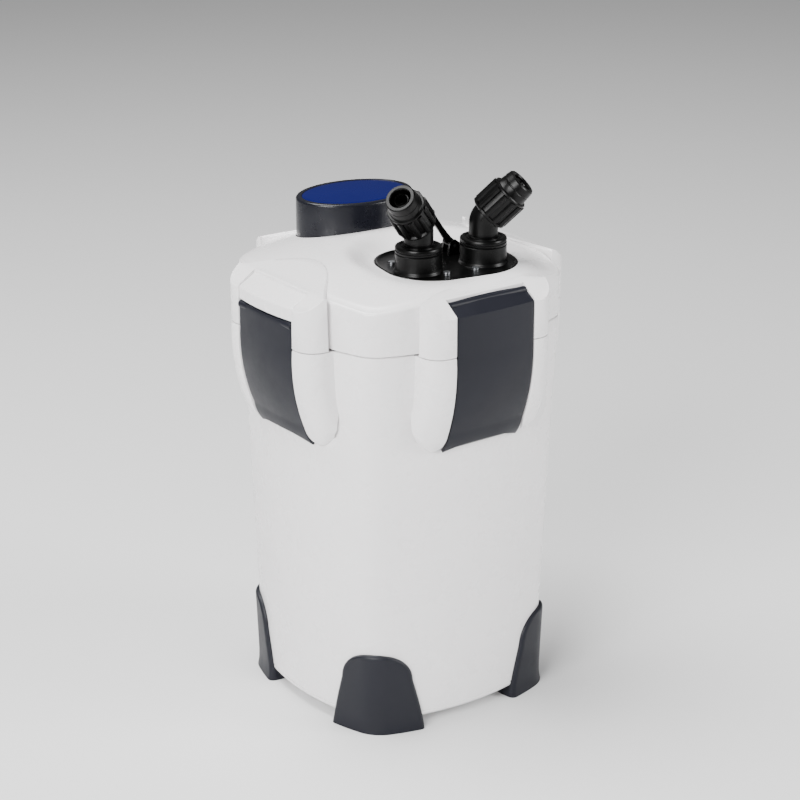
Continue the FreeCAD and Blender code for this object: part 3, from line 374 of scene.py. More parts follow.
studioLook = {
    "azimuth": -35.99, "elevation": 20.09, "distance": 2.2, "aimHigh": 0.2614, "lens": 113.05,
    "sensor": 36, "shiftX": 0.00225, "floorHalf": 6, "floorDrop": 0.0002, "floorGrey": 0.8,
    "sky": 0.16, "lampAim": 0.22,
    "lamps": {"keyLeft": ((-1.9, -1.0, 1.3), 1.2, 84), "keyRight": ((1.7, -1.9, 1.2), 1.1, 60),
              "overhead": ((-0.5, 0.5, 2.4), 1.4, 88)},
}


def studio():
    look = studioLook
    azimuth, elevation = math.radians(look["azimuth"]), math.radians(look["elevation"])
    back = Vector((math.sin(azimuth) * math.cos(elevation), -math.cos(azimuth) * math.cos(elevation),
                   math.sin(elevation)))
    camera = inScene("camera", bpy.data.cameras.new("camera"))
    camera.data.lens, camera.data.sensor_width = look["lens"], look["sensor"]
    camera.data.shift_x = look["shiftX"]
    camera.location = Vector((0, 0, look["aimHigh"])) + back * look["distance"]
    camera.rotation_euler = back.to_track_quat("Z", "Y").to_euler()
    bpy.context.scene.camera = camera
    half, low = look["floorHalf"], -look["floorDrop"]
    floorMesh = bpy.data.meshes.new("floor")
    floorMesh.from_pydata([(-half, -half, low), (half, -half, low), (half, half, low), (-half, half, low)],
                          [], [(0, 1, 2, 3)])
    floor = inScene("floor", floorMesh)
    paper = bpy.data.materials.new("studioPaper")
    paper.use_nodes = True
    sheet = paper.node_tree.nodes["Principled BSDF"]
    sheet.inputs["Base Color"].default_value = (look["floorGrey"],) * 3 + (1,)
    sheet.inputs["Roughness"].default_value = 0.9
    floorMesh.materials.append(paper)
    for name, (spot, size, power) in look["lamps"].items():
        lamp = inScene(name, bpy.data.lights.new(name, "AREA"))
        lamp.data.size, lamp.data.energy = size, power
        lamp.location = spot
        away = Vector(spot) - Vector((0, 0, look["lampAim"]))
        lamp.rotation_euler = away.to_track_quat("Z", "Y").to_euler()
    sky = bpy.data.worlds.new("studioSky")
    sky.use_nodes = True
    sky.node_tree.nodes["Background"].inputs["Color"].default_value = (1, 1, 1, 1)
    sky.node_tree.nodes["Background"].inputs["Strength"].default_value = look["sky"]
    bpy.context.scene.world = sky


studio()
print("studio set")


# ---- bucket ----

bucketSize = {
    "bowCentre": 125.5, "cornerRound": 26, "baseZ": 10, "splitZ": 347, "baseMid": 107.5, "splitMid": 120,
    "wall": 4, "floorThick": 5, "splitGap": 0.45, "ledgeZ": 290, "ledgeDepth": 0.5, "baseGrooveZ": 15,
    "baseGroove": 0.7,
}


def bowedRing(mid, z, corner, sidePoints=26, cornerPoints=12):
    # one level of a square with bowed sides
    bow = bucketSize["bowCentre"]
    reach = bow + mid
    centre = (-bow + math.sqrt(2 * (reach - corner) ** 2 - bow ** 2)) / 2
    limit = math.atan2(centre, centre + bow)
    quarter = []
    for i in range(sidePoints):
        angle = -limit + 2 * limit * i / sidePoints
        quarter.append((reach * math.cos(angle) - bow, reach * math.sin(angle), z))
    for i in range(cornerPoints):
        angle = limit + (math.pi / 2 - 2 * limit) * i / cornerPoints
        quarter.append((centre + corner * math.cos(angle), centre + corner * math.sin(angle), z))
    return [point for side in range(4) for point in turned(quarter, 90 * side)]


def midAt(z):
    size = bucketSize
    return size["baseMid"] + (size["splitMid"] - size["baseMid"]) * (z - size["baseZ"]) / (
        size["splitZ"] - size["baseZ"])


def bucketShell():
    size = bucketSize
    low, high, corner = size["baseZ"], size["splitZ"] - size["splitGap"], size["cornerRound"]
    levels = [(low, -3.0), (low + 0.4, -1.6), (low + 1.4, -0.5), (low + 3, 0)]
    groove = size["baseGrooveZ"]
    levels += [(groove - 0.6, 0), (groove - 0.3, -size["baseGroove"]), (groove + 0.3, -size["baseGroove"]),
               (groove + 0.6, 0)]
    levels += [(z, 0) for z in range(24, 284, 20)]
    ledge, depth = size["ledgeZ"], size["ledgeDepth"]
    levels += [(ledge - 3, 0), (ledge - 1, depth * 0.2), (ledge + 1, depth * 0.8), (ledge + 3, depth)]
    levels += [(z, depth) for z in (305, 320, 335)] + [(high - 1.2, depth), (high - 0.3, depth - 0.3),
                                                       (high, depth - 1)]
    rings = [bowedRing(midAt(z) + out, z, corner) for z, out in levels]
    inner = corner - size["wall"]
    floorZ = low + size["floorThick"]
    rings += [bowedRing(midAt(z) - size["wall"], z, inner)
              for z in (high, 300, 240, 180, 120, 60, floorZ + 4)]
    rings += [bowedRing(midAt(floorZ) - size["wall"] - 3, floorZ, inner - 3)]
    points, faces = loft(rings, False, False)
    count = len(rings[0])
    fanCap(points, faces, list(range(count)), (0, 0, low))
    last = (len(rings) - 1) * count
    fanCap(points, faces, list(range(last, last + count)), (0, 0, floorZ))
    return points, faces


# ---- surround cheeks: half-round pillars beside each latch ----

cheekSize = {
    "inner": 40.4, "outer": 64.0, "flare": 3.0, "flareZ": 279, "edgeRound": 1.4, "faceWide": 3.5,
    "roundDeep": 20, "power": 2.2, "thumbLength": 24, "thumbCentre": 50, "step": 2.4, "face": 138.0,
}
cheekPath = [(138.0, 385), (138.0, 345, -163), (126.6, 276, -48), (116.6, 256.0)]


def smooth(value):
    value = min(max(value, 0), 1)
    return value * value * (3 - 2 * value)


def cheekSection(outer):
    # (across, drop) from the latch side to the root: a small edge, a flat and a half round
    size = cheekSize
    inner, edge = size["inner"], size["edgeRound"]
    section = [(inner + edge * (1 - math.cos(a)), edge * (1 - math.sin(a)))
               for a in quarterAngles(4)]
    flat = inner + edge + size["faceWide"]
    for i in range(17):
        share = 1 - (1 - i / 16) ** 1.6
        drop = size["roundDeep"] * (1 - (1 - share ** size["power"]) ** (1 / size["power"]))
        section.append((flat + (outer - flat) * share, drop))
    return section


def lowerCheek():
    # sweeps the section down the side line and ends it as a rounded thumb
    size = cheekSize
    top = splitZ - splitGap
    path = [Vector((size["face"], top))] + [p for p in tracePath(cheekPath, size["step"]) if p.y < top - 1]
    normals = pathNormals(path)
    normals[0] = Vector((1, 0))
    lengths = runLengths(path)
    rings = []
    for spot, normal, length in zip(path, normals, lengths):
        normal = normal if normal.x > 0 else -normal
        toEnd = lengths[-1] - length
        thumb = math.sqrt(max(1 - max(1 - toEnd / size["thumbLength"], 0) ** 2, 0.0))
        flare = size["flare"] * math.exp(-((spot.y - size["flareZ"]) / 15) ** 2)
        section = cheekSection(size["outer"] + flare)
        deep = 12 + 16 * smooth((spot.y - 262) / 40)
        low = min(max((top - spot.y) / 0.8, 0), 1)
        ring = []
        for across, drop in [(size["inner"], deep)] + section + [(size["outer"] + flare, deep)]:
            across = size["thumbCentre"] + (across - size["thumbCentre"]) * (0.05 + 0.95 * thumb)
            down = min(drop, deep) + (1 - thumb) * 6.0 + (1 - low) * 0.5
            at = spot - normal * down
            ring.append((at.x, across, at.y))
        rings.append(ring)
    return loft(rings)


def bothSides(part):
    # a part beside the latch and its mirror image, on the +X side
    points, faces = part
    mirrored = [(x, -y, z) for x, y, z in points]
    return [(points, faces), (mirrored, [face[::-1] for face in faces])]


def onFourSides(parts):
    return [(turned(points, 90 * side), faces) for points, faces in parts for side in range(4)]


splitZ, splitGap = bucketSize["splitZ"], bucketSize["splitGap"]
lowerCheeks = onFourSides(bothSides(lowerCheek()))
catchRib = loft([[(114, y, z) for y, z in ((-18, 326), (18, 326), (18, 330), (-18, 330))],
                 [(127, y, z) for y, z in ((-18, 326), (18, 326), (18, 329), (-18, 329))]])
pieceFrom("bucketSkin", [bucketShell()] + lowerCheeks + onFourSides([catchRib]), "whiteAbs", "housing",
          ["bucket"], 40)
print("bucket made")


# ---- head shell ----

headSize = {
    "topMid": 121, "wall": 3.5, "domeTop": 411, "domeRadius": 400, "edgeRound": 3.0, "holeGap": 0.6,
    "plateBlend": 26, "plateLevel": 398.2, "crownRings": 44,
}
hoodSize = {
    "bevelTop": (120.6, 392.8), "bevelLow": (138.0, 380.6), "fieldSlope": 0.305, "rimRound": 2.4,
    "root": 118.0, "half": 64.0, "sunk": 6.0, "slotFace": 120.6, "slotLow": 384.0,
    "reach": {"right": (36, 2.0), "back": (36, 2.0), "left": (36, 2.0), "front": (12, 4.0)},
}
buttonSize = {
    "x": 3.8, "y": 70.6, "turn": -3.1, "long": 54.6, "short": 39.9, "top": 434, "low": 392, "wall": 2.5,
    "rimRound": 2.4, "rimWide": 4.2, "inset": 1.3, "dome": 1.0, "stem": 8, "stemLow": 374,
}
tapSize = {
    "x": 13.7, "y": -49.7, "turn": -10, "wide": 118, "deep": 100, "round": 42, "z": 397, "thick": 3.5,
    "rim": 1.6, "rimWide": 2.6, "collarX": 30.5, "collarY": -9.5, "collarRadius": 20, "collarHigh": 16,
    "ringHigh": 6, "socket": 15.4, "stub": 14.5, "stubLow": 386, "port": 5.5,
}


def plateDistance(x, y):
    # distance out from the tap plate's outline
    away = Vector((x - tapSize["x"], y - tapSize["y"], 0))
    away = Matrix.Rotation(math.radians(-tapSize["turn"]), 3, "Z") @ away
    outX = abs(away.x) - tapSize["wide"] / 2 + tapSize["round"]
    outY = abs(away.y) - tapSize["deep"] / 2 + tapSize["round"]
    return math.hypot(max(outX, 0), max(outY, 0)) + min(max(outX, outY), 0) - tapSize["round"]


def domeZ(x, y, drop=0.0):
    # a wide dome that eases down to the tap plate's rim
    radius = headSize["domeRadius"] - drop
    dome = headSize["domeTop"] - headSize["domeRadius"] + math.sqrt(radius ** 2 - x * x - y * y)
    near = 1 - smooth((plateDistance(x, y) - 1.5) / headSize["plateBlend"])
    return dome * (1 - near) + (headSize["plateLevel"] - drop) * near


def domeSkin(low, mid, drop, corner, edge):
    # skirt and dome of one side of the shell, from the skirt's foot to the crown
    rings = [bowedRing(mid - 1 + 0.2 * i, low + (384 - low) * i / 5, corner) for i in range(5)]
    rim = bowedRing(mid, 0, corner)
    for angle in quarterAngles(6):
        shrink = 1 - edge * (1 - math.cos(angle)) / mid
        rings.append([(x * shrink, y * shrink, domeZ(x, y, drop) - edge + edge * math.sin(angle))
                      for x, y, z in rim])
    start = 1 - edge / mid
    count = headSize["crownRings"]
    for i in range(1, count):
        shrink = start * (1 - i / count)
        rings.append([(x * shrink, y * shrink, domeZ(x * shrink, y * shrink, drop)) for x, y, z in rim])
    return rings


def headShell():
    low = splitZ + splitGap
    outer = domeSkin(low, headSize["topMid"], 0, bucketSize["cornerRound"], headSize["edgeRound"])
    foot = [bowedRing(headSize["topMid"] - 1.9, low, bucketSize["cornerRound"])]
    inner = domeSkin(low, headSize["topMid"] - headSize["wall"], headSize["wall"],
                     bucketSize["cornerRound"] - headSize["wall"], 1.0)
    outer[0] = [(x, y, z + 0.4) for x, y, z in outer[0]]
    rings = inner[::-1] + foot + outer
    points, faces = loft(rings, False, False)
    count = len(rings[0])
    fanCap(points, faces, list(range(count)), (0, 0, domeZ(0, 0, headSize["wall"])))
    last = (len(rings) - 1) * count
    fanCap(points, faces, list(range(last, last + count)), (0, 0, domeZ(0, 0)))
    return points, faces


def ovalRing(grow, z, count=96):
    size = buttonSize
    ring = [((size["long"] + grow) * math.cos(a), (size["short"] + grow) * math.sin(a), z)
            for a in roundAngles(count)]
    return [(x + size["x"], y + size["y"], z) for x, y, z in turned(ring, size["turn"])]


def tapRing(grow, z, step=10):
    # a rounded rectangle in the tap block's own frame
    size = tapSize
    halfX, halfY, corner = size["wide"] / 2 + grow, size["deep"] / 2 + grow, size["round"] + grow
    ring = []
    for turn, (signX, signY) in enumerate(((1, 1), (-1, 1), (-1, -1), (1, -1))):
        for i in range(step + 1):
            angle = math.pi / 2 * (turn + i / step)
            ring.append((signX * (halfX - corner) + corner * math.cos(angle),
                         signY * (halfY - corner) + corner * math.sin(angle), z))
    return ring


def tapPlaced(part):
    return moved(part, (tapSize["x"], tapSize["y"], 0),
                 Matrix.Rotation(math.radians(tapSize["turn"]), 3, "Z"))


def rimAt(across, face):
    # how far out the hood's rim lies at a distance across
    deep, power = hoodSize["reach"][face]
    share = min(abs(across) / hoodSize["half"], 1.0)
    return hoodSize["root"] - deep * (1 - share ** power) ** 1.5


def hoodTop(out):
    # height of the hood's top: a straight field, then the bevel
    (topOut, topZ), (lowOut, lowZ) = hoodSize["bevelTop"], hoodSize["bevelLow"]
    if out <= topOut:
        return topZ + (topOut - out) * hoodSize["fieldSlope"]
    return topZ + (lowZ - topZ) * (out - topOut) / (lowOut - topOut)


def hood(face):
    # the surround's upper half as side sections set one beside the next, on the +X side
    size = hoodSize
    low = splitZ + splitGap
    stations = [(across, size["slotFace"], size["slotLow"])
                for across in (0, 6, 12, 18, 24, 29, 33, 36.5, 39, cheekSize["inner"])]
    stations += [(across, cheekSize["face"] - drop, low) for across, drop in cheekSection(size["half"])]
    stations = [(-across, out, foot) for across, out, foot in stations[:0:-1]] + stations
    rings = []
    for across, out, foot in stations:
        rim = rimAt(across, face)
        turn = min(size["rimRound"], max(out - rim, 0.2) * 0.3)
        edge = min(1.6, max(out - rim, 0.2) * 0.3)
        crease = min(size["bevelTop"][0], out - edge)
        ring = [(rim - 1, foot), (rim, hoodTop(rim) - size["sunk"])]
        for angle in quarterAngles(5):
            ring.append((rim + turn * (1 - math.cos(angle)),
                         hoodTop(rim + turn) - turn * (1 - math.sin(angle))))
        along = [rim + turn + (crease - rim - turn) * i / 5 for i in range(1, 6)]
        along += [crease + (out - edge - crease) * i / 3 for i in (1, 2, 3)]
        ring += [(spot, hoodTop(spot)) for spot in along]
        for angle in quarterAngles(5)[1:]:
            ring.append((out - edge + edge * math.sin(angle),
                         hoodTop(out - edge) - edge * (1 - math.cos(angle))))
        ring += [(out, foot + 0.8), (out - 0.5, foot)]
        rings.append([(x, across, z) for x, z in ring])
    return loft(rings)


def headCutters():
    button = loft([ovalRing(headSize["holeGap"], 372), ovalRing(headSize["holeGap"], 424)])
    floorZ = tapSize["z"] - tapSize["thick"]
    tap = tapPlaced(loft([tapRing(0.3, floorZ - 0.2), tapRing(0.3, 420)]))
    stubs = []
    for side in (-1, 1):
        stubs.append(tapPlaced(moved(lathe([(tapSize["stub"] + 0.4, 370), (tapSize["stub"] + 0.4, 410)]),
                                     (tapSize["collarX"] * side, tapSize["collarY"], 0))))
    return button, tap, stubs


buttonCutter, tapCutter, stubCutters = headCutters()
padPlate = carve(tapPlaced(loft([tapRing(2, tapSize["z"] - tapSize["thick"] - 3),
                                 tapRing(2, tapSize["z"] - tapSize["thick"] - 0.2)])), stubCutters)
crown = carve(headShell(), [buttonCutter, tapCutter] + stubCutters)
hoods = []
for side, face in enumerate(("right", "back", "left", "front")):
    points, faces = hood(face)
    part = (turned(points, 90 * side), faces)
    hoods.append(carve(part, [buttonCutter]) if face == "back" else part)
pieceFrom("headSkin", [crown, padPlate] + hoods, "whiteAbs", "housing",
          ["head_shell"], 32)
print("head made")


# ---- latches ----

latchSize = {
    "half": 39.4, "tipHalf": 38.6, "out": 140, "thick": 2.8, "bow": 3.0, "arch": 8.0, "topArch": 3.0,
    "edge": 0.7, "barrel": 3.4, "columns": 24,
}
bladeLow = [(140, 345, -165), (127.8, 275.6, -37), (118.8, 257.2)]
longPath = [(123.0, 391.3), (140, 381)] + bladeLow
shortPath = [(139.5, 368.8), (140, 366.5)] + bladeLow
pivots = {"long": (124.3, 387.2), "short": (135.4, 366)}


def bladeShell(corners, size):
    # a bowed strip that follows the side line, thick along its normal
    path = tracePath(corners, 2.6)
    lengths = runLengths(path)
    total = lengths[-1]

    def along(distance):
        distance = min(max(distance, 0), total)
        i = next((i for i in range(1, len(lengths)) if lengths[i] >= distance), len(lengths) - 1)
        share = (distance - lengths[i - 1]) / (lengths[i] - lengths[i - 1])
        run = (path[i] - path[i - 1]).normalized()
        return path[i - 1].lerp(path[i], share), Vector((-run.y, run.x))

    rings = []
    columns = size["columns"]
    for length in lengths:
        outer, inner = [], []
        for column in range(columns + 1):
            share = 2 * column / columns - 1
            end = size["arch"] * (1 - abs(share) ** 3.2) * (length / total) ** 8
            start = size["topArch"] * share * share * (1 - length / total) ** 20
            spot, normal = along(length - end + start)
            half = size["tipHalf"] + (size["half"] - size["tipHalf"]) * smooth((spot.y - 257) / 90)
            if normal.x < 0 or (normal.x == 0 and normal.y < 0):
                normal = -normal
            bowIn = size["bow"] * share * share * smooth((400 - spot.y) / 12)
            outer.append((spot.x - bowIn, share * half, spot.y))
            inside = spot - normal * size["thick"]
            inner.append((inside.x - bowIn, share * half, inside.y))
        rings.append(outer + inner[::-1])
    return loft(rings)


def latchBarrel(kind):
    out, z = pivots[kind]
    half = latchSize["half"] - 0.4
    radius = latchSize["barrel"]
    return loft([[(out + radius * math.cos(a), y, z + radius * math.sin(a)) for a in roundAngles(28)]
                 for y in (-half, -half + 0.6, half - 0.6, half)])


def gripRibs():
    # stiffening ribs on the inside of the blade, down to its fingers
    ribs = []
    for across in (-26, -9, 9, 26):
        path = tracePath([(137.4, 362), (137.4, 345, -162), (125.4, 278)], 6)
        ring = [[(p.x + 0.6, across + w, p.y) for w in (-0.9, 0.9)]
                + [(p.x - 3.0, across + w, p.y) for w in (0.9, -0.9)] for p in path]
        ribs.append(loft(ring))
    return ribs


for side, (face, kind) in enumerate((("right", "short"), ("back", "long"), ("left", "short"),
                                     ("front", "long"))):
    if kind == "long":
        blade = bladeShell(longPath, latchSize)
    else:
        blade = bladeShell(shortPath, latchSize | {"topArch": 0})
    parts = [blade, latchBarrel(kind)] + gripRibs()
    pieceFrom(f"latchBlade_{face}", [(turned(points, 90 * side), faces) for points, faces in parts],
              "slateAbs", f"latch_{face}", [f"latch_{face}"], 30, latchSize["edge"])

coverSize = {"half": 39.8, "out": 139.6, "lowZ": 370.4, "edge": 0.8, "thick": 2.4, "topArch": 1.5}


def latchCover():
    # white cap over the top of the short latches: a bevel and a skirt
    size = coverSize
    corners = [(121.9, 391.4), (size["out"], 381), (size["out"], size["lowZ"])]
    return bladeShell(corners, latchSize | {"arch": 0, "half": size["half"], "tipHalf": size["half"],
                                            "thick": size["thick"], "topArch": size["topArch"]})


for side, face in ((0, "right"), (2, "left")):
    points, faces = latchCover()
    pieceFrom(f"latchCap_{face}", [(turned(points, 90 * side), faces)], "whiteAbs", "housing",
              [f"latch_cover_{face}"], 30, coverSize["edge"])
print("latches made")


# ---- feet ----

footSize = {
    "half": 39.5, "shoulder": 30.5, "shoulderZ": 48, "high": 75, "power": 2.1, "thick": 4.4, "round": 4.0,
    "lip": 1.6, "rows": 34, "columns": 44,
}


def footHalf(z):
    # half width of the foot at a height: sloping sides and a round top
    size = footSize
    if z < size["shoulderZ"]:
        return size["half"] + (size["shoulder"] - size["half"]) * (z / size["shoulderZ"]) ** 1.3
    rise = min((z - size["shoulderZ"]) / (size["high"] - size["shoulderZ"]), 1)
    return size["shoulder"] * (1 - rise ** size["power"]) ** (1 / size["power"])


def cornerLine(z):
    # distance across the corner, point and outward normal, along the wall about the back right corner
    sidePoints, cornerPoints, reach = 60, 40, 58
    ring = bowedRing(midAt(z), z, bucketSize["cornerRound"], sidePoints, cornerPoints)
    middle = sidePoints + cornerPoints // 2
    spot = [Vector(point).xy for point in ring]
    line = []
    for step in range(-reach, reach + 1):
        here = spot[(middle + step) % len(spot)]
        ahead, behind = spot[(middle + step + 1) % len(spot)], spot[(middle + step - 1) % len(spot)]
        run = (ahead - behind).normalized()
        line.append((here, Vector((run.y, -run.x))))
    middleSpot = line[reach][0]
    across = Vector((-1, 1)).normalized()
    return [((here - middleSpot).dot(across), here, normal) for here, normal in line]


def atAcross(table, across):
    # the wall's point and normal at a distance across the corner
    for (a, hereA, normalA), (b, hereB, normalB) in zip(table, table[1:]):
        if a <= across <= b:
            share = (across - a) / (b - a)
            return hereA.lerp(hereB, share), normalA.lerp(normalB, share).normalized()
    return (table[0][1], table[0][2]) if across < table[0][0] else (table[-1][1], table[-1][2])


def footShell():
    size = footSize
    tables = {}
    rows, columns = size["rows"], size["columns"]

    def wallAt(across, z):
        key = round(max(z, 10), 1)
        if key not in tables:
            tables[key] = cornerLine(key)
        return atAcross(tables[key], across)

    outer, inner = [], []
    for row in range(rows + 1):
        z = size["high"] * (1 - (1 - row / rows) ** 1.7) - (0.15 if row == rows else 0)
        for column in range(columns + 1):
            share = 2 * column / columns - 1
            share = math.copysign(1 - (1 - abs(share)) ** 1.5, share)
            half = max(footHalf(z), 1.0)
            across = half * share
            near = min((half - abs(across)) * 1.1, size["high"] - z + 0.2)
            lift = math.sqrt(max(1 - (1 - min(near / size["round"], 1)) ** 2, 0))
            lip = size["lip"] * math.exp(-z / 6)
            spot, normal = wallAt(across, z)
            flat = spot + normal * (-0.6 + (size["thick"] + lip) * lift)
            outer.append((flat.x, flat.y, z))
            back = spot - normal * (0.9 if z > 10.5 else 16 * lift + 0.9)
            inner.append((back.x, back.y, z))
    wide, shift = columns + 1, len(outer)
    faces = []
    for row in range(rows):
        for column in range(columns):
            a = row * wide + column
            faces.append((a, a + 1, a + 1 + wide, a + wide))
            faces.append((a + shift, a + wide + shift, a + 1 + wide + shift, a + 1 + shift))
    for column in range(columns):
        faces.append((column, column + shift, column + 1 + shift, column + 1))
        a = rows * wide + column
        faces.append((a, a + 1, a + 1 + shift, a + shift))
    for row in range(rows):
        a = row * wide
        faces.append((a, a + wide, a + wide + shift, a + shift))
        a = row * wide + columns
        faces.append((a, a + shift, a + wide + shift, a + wide))
    return outer + inner, faces


footPoints, footFaces = footShell()
for side, name in enumerate(("back_right", "back_left", "front_left", "front_right")):
    pieceFrom(f"footBoot_{name}", [(turned(footPoints, 90 * side), footFaces)], "slateAbs", "housing",
              [f"foot_{name}"], 50)
print("feet made")


# ---- primer button ----

def buttonCap():
    size = buttonSize
    top, low = size["top"], size["low"]
    rings = [ovalRing(-size["wall"], low), ovalRing(-0.6, low), ovalRing(-0.1, low + 0.6),
             ovalRing(0, low + 2), ovalRing(0, top - 14), ovalRing(0, top - size["rimRound"])]
    for angle in quarterAngles(6)[1:]:
        rings.append(ovalRing(-size["rimRound"] * (1 - math.cos(angle)),
                              top - size["rimRound"] * (1 - math.sin(angle))))
    rim = -size["rimRound"] - size["rimWide"] + 1.8
    rings += [ovalRing(rim, top - 0.1), ovalRing(rim - 0.4, top - 0.5),
              ovalRing(rim - 0.5, top - size["inset"]), ovalRing(-30, top - size["inset"])]
    inside = [ovalRing(-size["wall"], top - 4), ovalRing(-30, top - 4)]
    shell = loft(inside[::-1] + rings)
    stem = moved(lathe([(size["stem"], size["stemLow"]), (size["stem"], top - 3.6)], 40),
                 (size["x"], size["y"], 0))
    return [shell, stem]


def inlay():
    size = buttonSize
    edge = -size["rimRound"] - size["rimWide"] + 1.2
    base = size["top"] - size["inset"] - 0.1
    rings = [ovalRing(edge, base), ovalRing(edge, size["top"] - 0.5),
             ovalRing(edge - 0.5, size["top"] - 0.2)]
    for shrink in (4, 9, 15, 21, 27):
        lift = size["dome"] * (1 - (1 - shrink / 31) ** 2) * 0.3
        rings.append(ovalRing(edge - shrink, size["top"] - 0.2 + lift))
    return loft(rings)


pieceFrom("primerCap", buttonCap(), "buttonAbs", "primer", ["primer_button"], 40)
pieceFrom("primerInlay", [inlay()], "blueAcrylic", "primer", ["primer_badge"], 40)
print("button made")


# ---- tap block ----

def tapPlate():
    size = tapSize
    z, thick, rim = size["z"], size["thick"], size["rim"]
    rings = [tapRing(-20, z - thick), tapRing(-1, z - thick), tapRing(0, z - thick + 0.8),
             tapRing(0, z + rim - 1)]
    for i in range(1, 7):
        angle = math.pi * i / 6
        rings.append(tapRing(-size["rimWide"] / 2 + size["rimWide"] / 2 * math.cos(angle),
                             z + rim - 1 + 1.0 * math.sin(angle)))
    rings += [tapRing(-size["rimWide"] - 0.4, z + 0.5), tapRing(-size["rimWide"] - 1.6, z),
              tapRing(-14, z), tapRing(-30, z)]
    return loft(rings)


def collar():
    size = tapSize
    z, radius, bore = size["z"], size["collarRadius"], size["socket"]
    top = z + size["collarHigh"]
    return latheRing([(bore, z - 0.5), (radius + 1.4, z - 0.5), (radius + 1.2, z + 0.4),
                      (radius + 0.3, z + 1.4), (radius, z + 2.6), (radius, top - 0.8),
                      (radius - 0.5, top - 0.2), (bore, top - 0.2)], 72)


def stub():
    size = tapSize
    low, radius, port = size["stubLow"], size["stub"], size["port"]
    return latheRing([(port, low), (radius - 0.6, low), (radius, low + 0.8), (radius, size["z"]),
                      (port, size["z"])], 48)


leverSize = {"x": 17, "y": 24, "z": 405, "length": 38, "lean": 35, "half": 4, "hub": 4.5, "pin": 1.5}


def leverEars():
    ears = []
    for side in (-1, 1):
        middle = leverSize["y"] + side * (leverSize["half"] + 1.8)
        outline = [(-6, 396.5), (6, 396.5), (5, 403)]
        outline += [(4.6 * math.cos(a), leverSize["z"] + 0.4 + 4.6 * math.sin(a))
                    for a in (math.pi * i / 10 for i in range(11))] + [(-5, 403)]
        ears.append(loft([[(leverSize["x"] + x, middle + w, z) for x, z in outline] for w in (-1.4, 1.4)]))
    return ears


tapParts = [tapPlate()] + leverEars()
for side in (-1, 1):
    spot = (tapSize["collarX"] * side, tapSize["collarY"], 0)
    tapParts += [moved(collar(), spot), moved(stub(), spot)]
pieceFrom("tapDeck", [tapPlaced(part) for part in tapParts], "blackPom", "housing",
          ["tap_block"], 32)


def collarSpot(side):
    placed = tapPlaced(([(tapSize["collarX"] * side, tapSize["collarY"], 0)], []))
    return Vector(placed[0][0])


def collarCap(side):
    size = tapSize
    low = size["z"] + size["collarHigh"]
    top = low + size["ringHigh"]
    radius = size["collarRadius"]
    bore = elbowSize["neck"] + 0.2
    return moved(latheRing([(bore, low), (radius - 0.3, low), (radius, low + 0.5), (radius, low + 1.8),
                            (radius - 0.7, low + 2.2), (radius - 0.7, low + 2.8), (radius, low + 3.2),
                            (radius, top - 1.4), (radius - 0.5, top - 0.4), (radius - 1.4, top),
                            (radius - 3.6, top), (radius - 4.2, top - 0.8), (bore + 1.9, top - 0.8),
                            (bore + 1.5, top - 0.1), (bore + 0.3, top - 0.1), (bore, top - 0.5)], 72),
                 collarSpot(side))


elbowSize = {
    "neck": 12.5, "leg": 8.6, "barb": 6.1, "bore": 4.6, "bendZ": 435, "shoulder": 31, "legLength": 44,
    "flange": 15.3, "flangeLow": 405.7, "flangeHigh": 412.6, "bendReach": 4.6, "tilt": 45,
}
headings = {"left": -155.2, "right": -41.8}


def elbowTube(heading):
    # round sections along the neck, the bend and the leg, then back down the bore
    size = elbowSize
    tilt = math.radians(size["tilt"])
    bend = Vector((0, 0, size["bendZ"]))
    axis = Vector((math.sin(tilt), 0, math.cos(tilt)))
    reach = size["bendReach"]

    def ringAt(centre, direction, radius):
        side = Vector((0, 1, 0))
        up = side.cross(direction).normalized()
        return [tuple(centre + (up * math.cos(a) + side * math.sin(a)) * radius) for a in roundAngles(48)]

    def bendStations(radius):
        radiusOfBend = reach / math.tan(tilt / 2)
        centre = Vector((radiusOfBend, 0, size["bendZ"] - reach))
        stations = []
        for i in range(7):
            angle = tilt * i / 6
            spot = centre + Vector((-math.cos(angle), 0, math.sin(angle))) * radiusOfBend
            stations.append((spot, Vector((math.sin(angle), 0, math.cos(angle))), radius))
        return stations

    up = Vector((0, 0, 1))
    neck, leg, barb, bore = size["neck"], size["leg"], size["barb"], size["bore"]
    low, high, shoulder, end = size["flangeLow"], size["flangeHigh"], size["shoulder"], size["legLength"]
    outer = [(Vector((0, 0, z)), up, r) for z, r in (
        (low, bore), (low, size["flange"]), (high, size["flange"]), (high, neck), (419.6, neck),
        (420.0, neck - 0.7), (421.4, neck - 0.7), (421.8, neck), (426, neck))]
    outer += bendStations(neck)
    outer += [(bend + axis * at, axis, r) for at, r in (
        (reach + 0.2, neck), (reach + 0.4, leg), (shoulder, leg), (shoulder + 0.2, barb - 0.5),
        (34.5, barb), (34.7, barb - 0.6), (38.2, barb), (38.4, barb - 0.6), (41.8, barb),
        (42.0, barb - 0.6), (end - 0.4, barb - 0.9), (end, bore + 0.3), (end - 0.5, bore))]
    inner = [(bend + axis * (reach + 1), axis, bore)] + bendStations(bore)[::-1]
    rings = [ringAt(*station) for station in outer + inner]
    part = loft(rings + rings[:1], False, False)
    return moved(part, (0, 0, 0), Matrix.Rotation(math.radians(heading), 3, "Z"))


def legFrame(side):
    # matrix that stands a turned piece on the leg's axis, at the bend
    spin = Matrix.Rotation(math.radians(headings[side]), 4, "Z")
    lean = Matrix.Rotation(math.radians(elbowSize["tilt"]), 4, "Y")
    spot = collarSpot(-1 if side == "left" else 1) + Vector((0, 0, elbowSize["bendZ"]))
    return Matrix.Translation(spot * 0.001) @ spin @ lean


